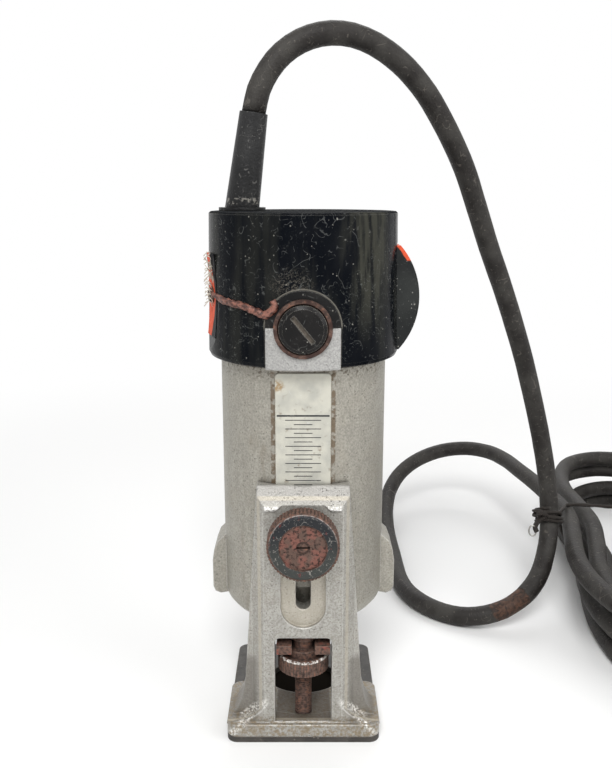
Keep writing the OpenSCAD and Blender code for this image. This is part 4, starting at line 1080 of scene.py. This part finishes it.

# End cap: a deep black moulding, polished and now covered in fine curly scratches, with lint over
# the arch. Its soft sheen, in vertical streaks and over the front right, is a painted reflection.
# A run of brown glue leads from the label to the arch.
mat, tree, body, colour, height = moulding(
    "cap_moulding", (5, 8, 14), (15, 17, 21), (0.16, 0.36), 0.05, 0.0085, 0.6
)
y, z = axes(tree)[1:]
# painted reflection: a soft sheen in vertical streaks and over the cap's front right, in hazy
# patches
sheen_streaks = patches(tree, 0.46, 0.64, 0.0075, 4.0, stretch=(1, 1, 0.1))
sheen_side = between(away_from(tree, (0.0235, -0.0265, 0.182), (1, 1, 0.4)), 0.0155, 0.004)
hazy = patches(tree, 0.4, 0.62, 0.0034, 5.0, stretch=(1, 1, 0.16))
cloud = plus(times(sheen_streaks, 0.3), times(sheen_side, hazy))
colour = blended(cloud, colour, (56, 56, 50))
area = patches(tree, 0.48, 0.62, 0.03, 2.0)
lint_spot = between(away_from(tree, (-0.004, -0.035, 0.17), (1, 1, 1.4)), 0.01, 0.002)
lint = times(lint_spot, patches(tree, 0.46, 0.7, 0.0007, 6.0, twist=1.2))
arch_line = band(away_from(tree, (0, 0, brush_z), (1, 0, 1)), 0.013, 0.0132, 0.0004)
upper_half = between(z, brush_z - 0.001, brush_z + 0.001)
arch_line = times(arch_line, times(between(y, -0.03, -0.032), upper_half))
rub = placed(tree, worn_edges, 0.0007, 0.6)
colour = tinted(
    colour, (times(mask_of(tree, scratches, 0.0036, 0.6), area), 0.3, (128, 132, 128)),
    (lint, 0.5, (120, 115, 105)), (arch_line, 0.6, (140, 136, 126)),
    (rub["Mask"], 0.3, (120, 118, 112)),
)
top = between(z, 0.1928, 0.1932)
surface(
    body, colour, height, 0.00009, rub["Normal"],
    rough=maths("MAXIMUM", level(cloud, 0.2, 0.42), top),
)
dress(mat, "end_cap")

cap_low_r = 0.0355
cap_high_r = 0.0345
cap_low_z = 0.143
cap_top = 0.1935


def on_cap(angle, z, proud=0.0):
    """A point on the cap's wall; the angle runs to the right from the front."""
    r = cap_low_r + (cap_high_r - cap_low_r) * (z - cap_low_z) / (cap_top - cap_low_z) + proud
    q = math.radians(angle)
    return Vector((r * math.sin(q), -r * math.cos(q), z))


glue_run = [
    (-67, 0.1646), (-61, 0.1641), (-51.4, 0.1633), (-44, 0.1629), (-34, 0.1621), (-26.8, 0.1609),
    (-21.5, 0.1598), (-18.2, 0.1606), (-15.6, 0.1628), (-17.0, 0.1648),
]


def glue_r(i, q, point):
    """The bead swells and dries unevenly."""
    fullness = 0.0007 + 0.0006 * ease((point.x + 0.0335) / 0.006)
    return fullness * (1 + 0.35 * noise.noise(point * 420) + 0.3 * noise.noise(point * 1100))


glue_line = smooth_line([on_cap(a, z, 0.0001) for a, z in glue_run], 0.0007)
glue = tube("glue_bead", glue_line, glue_r, 12)
mat, tree, body = skin("dried_glue", Specular_IOR_Level=0.45)
colour = blended(patches(tree, 0.38, 0.62, 0.0013, 5.0), (62, 34, 28), (138, 92, 78))
surface(body, colour, cloudy(tree, 0.0009, 4.0), 0.0003, rough=level(cloudy(tree, 0.002), 0.3, 0.6))
wear(mat, glue)
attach(glue, "motor")

# Switch: a long black rocker paddle on a steel pin through the cap's wall, over a brown moulded
# switch body. A patch of orange paint is left on the paddle's upper edge.
mat, tree, body, colour, height = moulding(
    "paddle_moulding", (26, 28, 28), (42, 44, 43), (0.42, 0.6), 0.2, 0.004, 0.4
)
z = axes(tree)[2]
colour = tinted(colour, (mask_of(tree, specks, 0.0011, 0.25), 0.6, (176, 174, 168)))
paint_edge = away_from(tree, (0.01373, 0, 0.1625), (1, 0, 1))
paint_edge = plus(paint_edge, times(cloudy(tree, 0.003), 0.0015))
paint = times(between(z, 0.1758, 0.1764), between(paint_edge, 0.0279, 0.0282))
colour = blended(paint, colour, blended(cloudy(tree, 0.0012), (196, 74, 46), (228, 96, 62)))
surface(body, colour, height, 0.00008, placed(tree, worn_edges, 0.0005)["Normal"])
dress(mat, "switch_paddle")

coat(
    metal("pin_steel", (176, 174, 170), (128, 124, 118)), 0.00004, "switch_pin", "bearing_retainer"
)

coat(moulding("switch_moulding", (52, 38, 30), (78, 58, 46), (0.4, 0.6)), 0.00008, "switch_body")

# Side label and its screw: what is left of an orange paper label in the shallow hollow at the
# left, torn to white fibres along its edges, held down by one rusty screw.
scoop_turn = math.radians(17)
label_mid = Vector((-math.cos(scoop_turn) * 0.0345, -math.sin(scoop_turn) * 0.0345, 0.164))
mat, tree, body = skin("torn_paper", Specular_IOR_Level=0.2)
y, z = axes(tree)[1:]
tear = between(plus(cloudy(tree, 0.0065, 5.0, twist=0.8), between(z, 0.17, 0.164)), 0.46, 0.52)
orange = blended(cloudy(tree, 0.002, 4.0), (206, 72, 42), (236, 104, 66))
fibres = blended(cloudy(tree, 0.0009, 5.0), (150, 138, 124), (222, 214, 202))
colour = blended(tear, fibres, orange)
soil = patches(tree, 0.56, 0.68, 0.004, 5.0)
colour = tinted(colour, (soil, 0.4, (120, 62, 40)))
reach = minus(0.0148, times(maths("ABSOLUTE", minus(z, 0.163)), 0.38))
reach = plus(reach, times(cloudy(tree, 0.003, 4.0), 0.0012))
gone = between(plus(reach, y), 0.0003, -0.0003)
surface(
    body, blended(gone, colour, (12, 13, 16)), plus(cloudy(tree, 0.0007), tear), 0.00025,
    rough=level(tear, 0.9, 0.6),
)
dress(mat, "side_label")

strands = []
for k in range(26):
    turn = noise.noise(Vector((k * 1.7, 2.0, 0))) * 1.6
    start = label_mid + Vector((0, 0, 0.0007 * (k - 6)))
    across = Vector((math.sin(scoop_turn), -math.cos(scoop_turn), 0))
    start += across * 0.004 * noise.noise(Vector((k * 2.3, 5.0, 0)))
    outward = Vector((-math.cos(scoop_turn), -math.sin(scoop_turn), 0))
    line = [
        start + outward * 0.0027 * t / 5 + across * 0.0022 * math.sin(t * 0.6 + turn)
        + Vector((0, 0, 0.0022 * math.sin(t * 0.5 + 2 * turn))) for t in range(6)
    ]
    strands.append(tube("fibre", smooth_line(line, 0.0004), 0.00017, 5))
fibre_piece = joined("label_fibres", strands)
mat, tree, body = skin("paper_fibre", Specular_IOR_Level=0.2)
surface(
    body, blended(cloudy(tree, 0.002), (186, 176, 160), (232, 227, 216)),
    rough=level(cloudy(tree, 0.001), 0.7, 0.95),
)
wear(mat, fibre_piece)
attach(fibre_piece, "motor")

coat(rusty("label_screw_steel", (120, 96, 80), 0.95, 0.002, 0.3), 0.0001, "side_screw")

# Strain relief and grommet: a black rubber sleeve pushed through the cap with the cord, and the
# flanged ring that grips it. Both are scuffed where they have been bent.
mat, tree, body, colour, height = rubber(
    "sleeve_rubber", (24, 24, 25), (44, 44, 44), (138, 136, 132), (0.34, 0.5)
)
z = axes(tree)[2]
foot = times(band(z, 0.1962, 0.1978, 0.0006), patches(tree, 0.5, 0.58, 0.0016, 4.0))
colour = tinted(colour, (foot, 0.6, (166, 162, 154)))
surface(body, colour, height, 0.00018, placed(tree, worn_edges, 0.0006)["Normal"])
dress(mat, "strain_relief", "cord_grommet")

# Switch leads: inside the cap, the cord's cores run to the switch as one taped bundle, under a
# dull rubber cover.
coat(rubber("lead_cover", (30, 30, 30), (50, 48, 46), (90, 88, 84)), 0.0001, "switch_leads")

# Field: a stack of thin steel laminations pressed into the housing, and two taped and varnished
# coils of copper wire on its poles.
mat, tree, body, colour, lines = metal(
    "core_laminations", (122, 120, 118), (86, 80, 74), (0.4, 0.6), 0.8
)
stack = ripples(tree, 620.0, 0.3, "Z")
colour = tinted(colour, (stack, 0.5, (58, 52, 48)))
surface(body, colour, stack, 0.0002)
dress(mat, "stator_core", "armature_core")

mat, tree, body = skin("varnished_wire", Metallic=0.5)
turns = ripples(tree, 420.0, 1.0, "DIAGONAL")
colour = blended(turns, (92, 46, 26), (168, 96, 54))
surface(
    body, blended(patches(tree, 0.5, 0.7, 0.006), colour, (74, 44, 30)), turns, 0.0004,
    rough=level(cloudy(tree, 0.004), 0.25, 0.5),
)
dress(mat, "field_coils", "armature_windings")

# Rotor: a ground steel spindle on two ball bearings, with a copper commutator under two pressed
# carbon brushes and their springs, and a cast fan below the armature.
mat, tree, body, colour, lines = metal(
    "ground_steel", (186, 186, 188), (150, 149, 150), (0.18, 0.34), 0.95
)
surface(body, colour, lines, 0.00004, placed(tree, worn_edges, 0.0004)["Normal"])
dress(mat, "spindle", "lower_bearing", "upper_bearing", "bearing_inner_races", "collet")

mat, tree, body, colour, lines = metal(
    "commutator_copper", (196, 122, 84), (122, 72, 50), (0.25, 0.45)
)
track = ripples(tree, 300.0, 0.8, "Z")
surface(body, tinted(colour, (track, 0.4, (66, 44, 36))), track, 0.00005)
dress(mat, "commutator")

mat, tree, body = skin("pressed_carbon", Specular_IOR_Level=0.4)
surface(
    body, blended(cloudy(tree, 0.0008, 5.0), (34, 34, 36), (62, 62, 64)), cloudy(tree, 0.0005),
    0.00006, rough=level(cloudy(tree, 0.002), 0.4, 0.6),
)
dress(mat, "carbon_brushes")

mat, tree, body, colour, lines = metal("spring_brass", (178, 156, 104), (128, 106, 68))
coils = ripples(tree, 260.0, 0.2, "Y")
surface(body, blended(coils, (50, 42, 30), colour), coils, 0.0005)
dress(mat, "brush_springs")

coat(casting("fan_casting", (170, 168, 162), (140, 137, 130), 0.0008, 0.3), 0.00016, "cooling_fan")

# Collet nut: plain hexagonal steel under the housing, dulled and spotted with rust. It closes
# the collet and is turned by a spanner.
coat(rusty("collet_nut_steel", (134, 130, 124), 0.5, 0.003, 0.7, 0.7), 0.00008, "collet_nut")
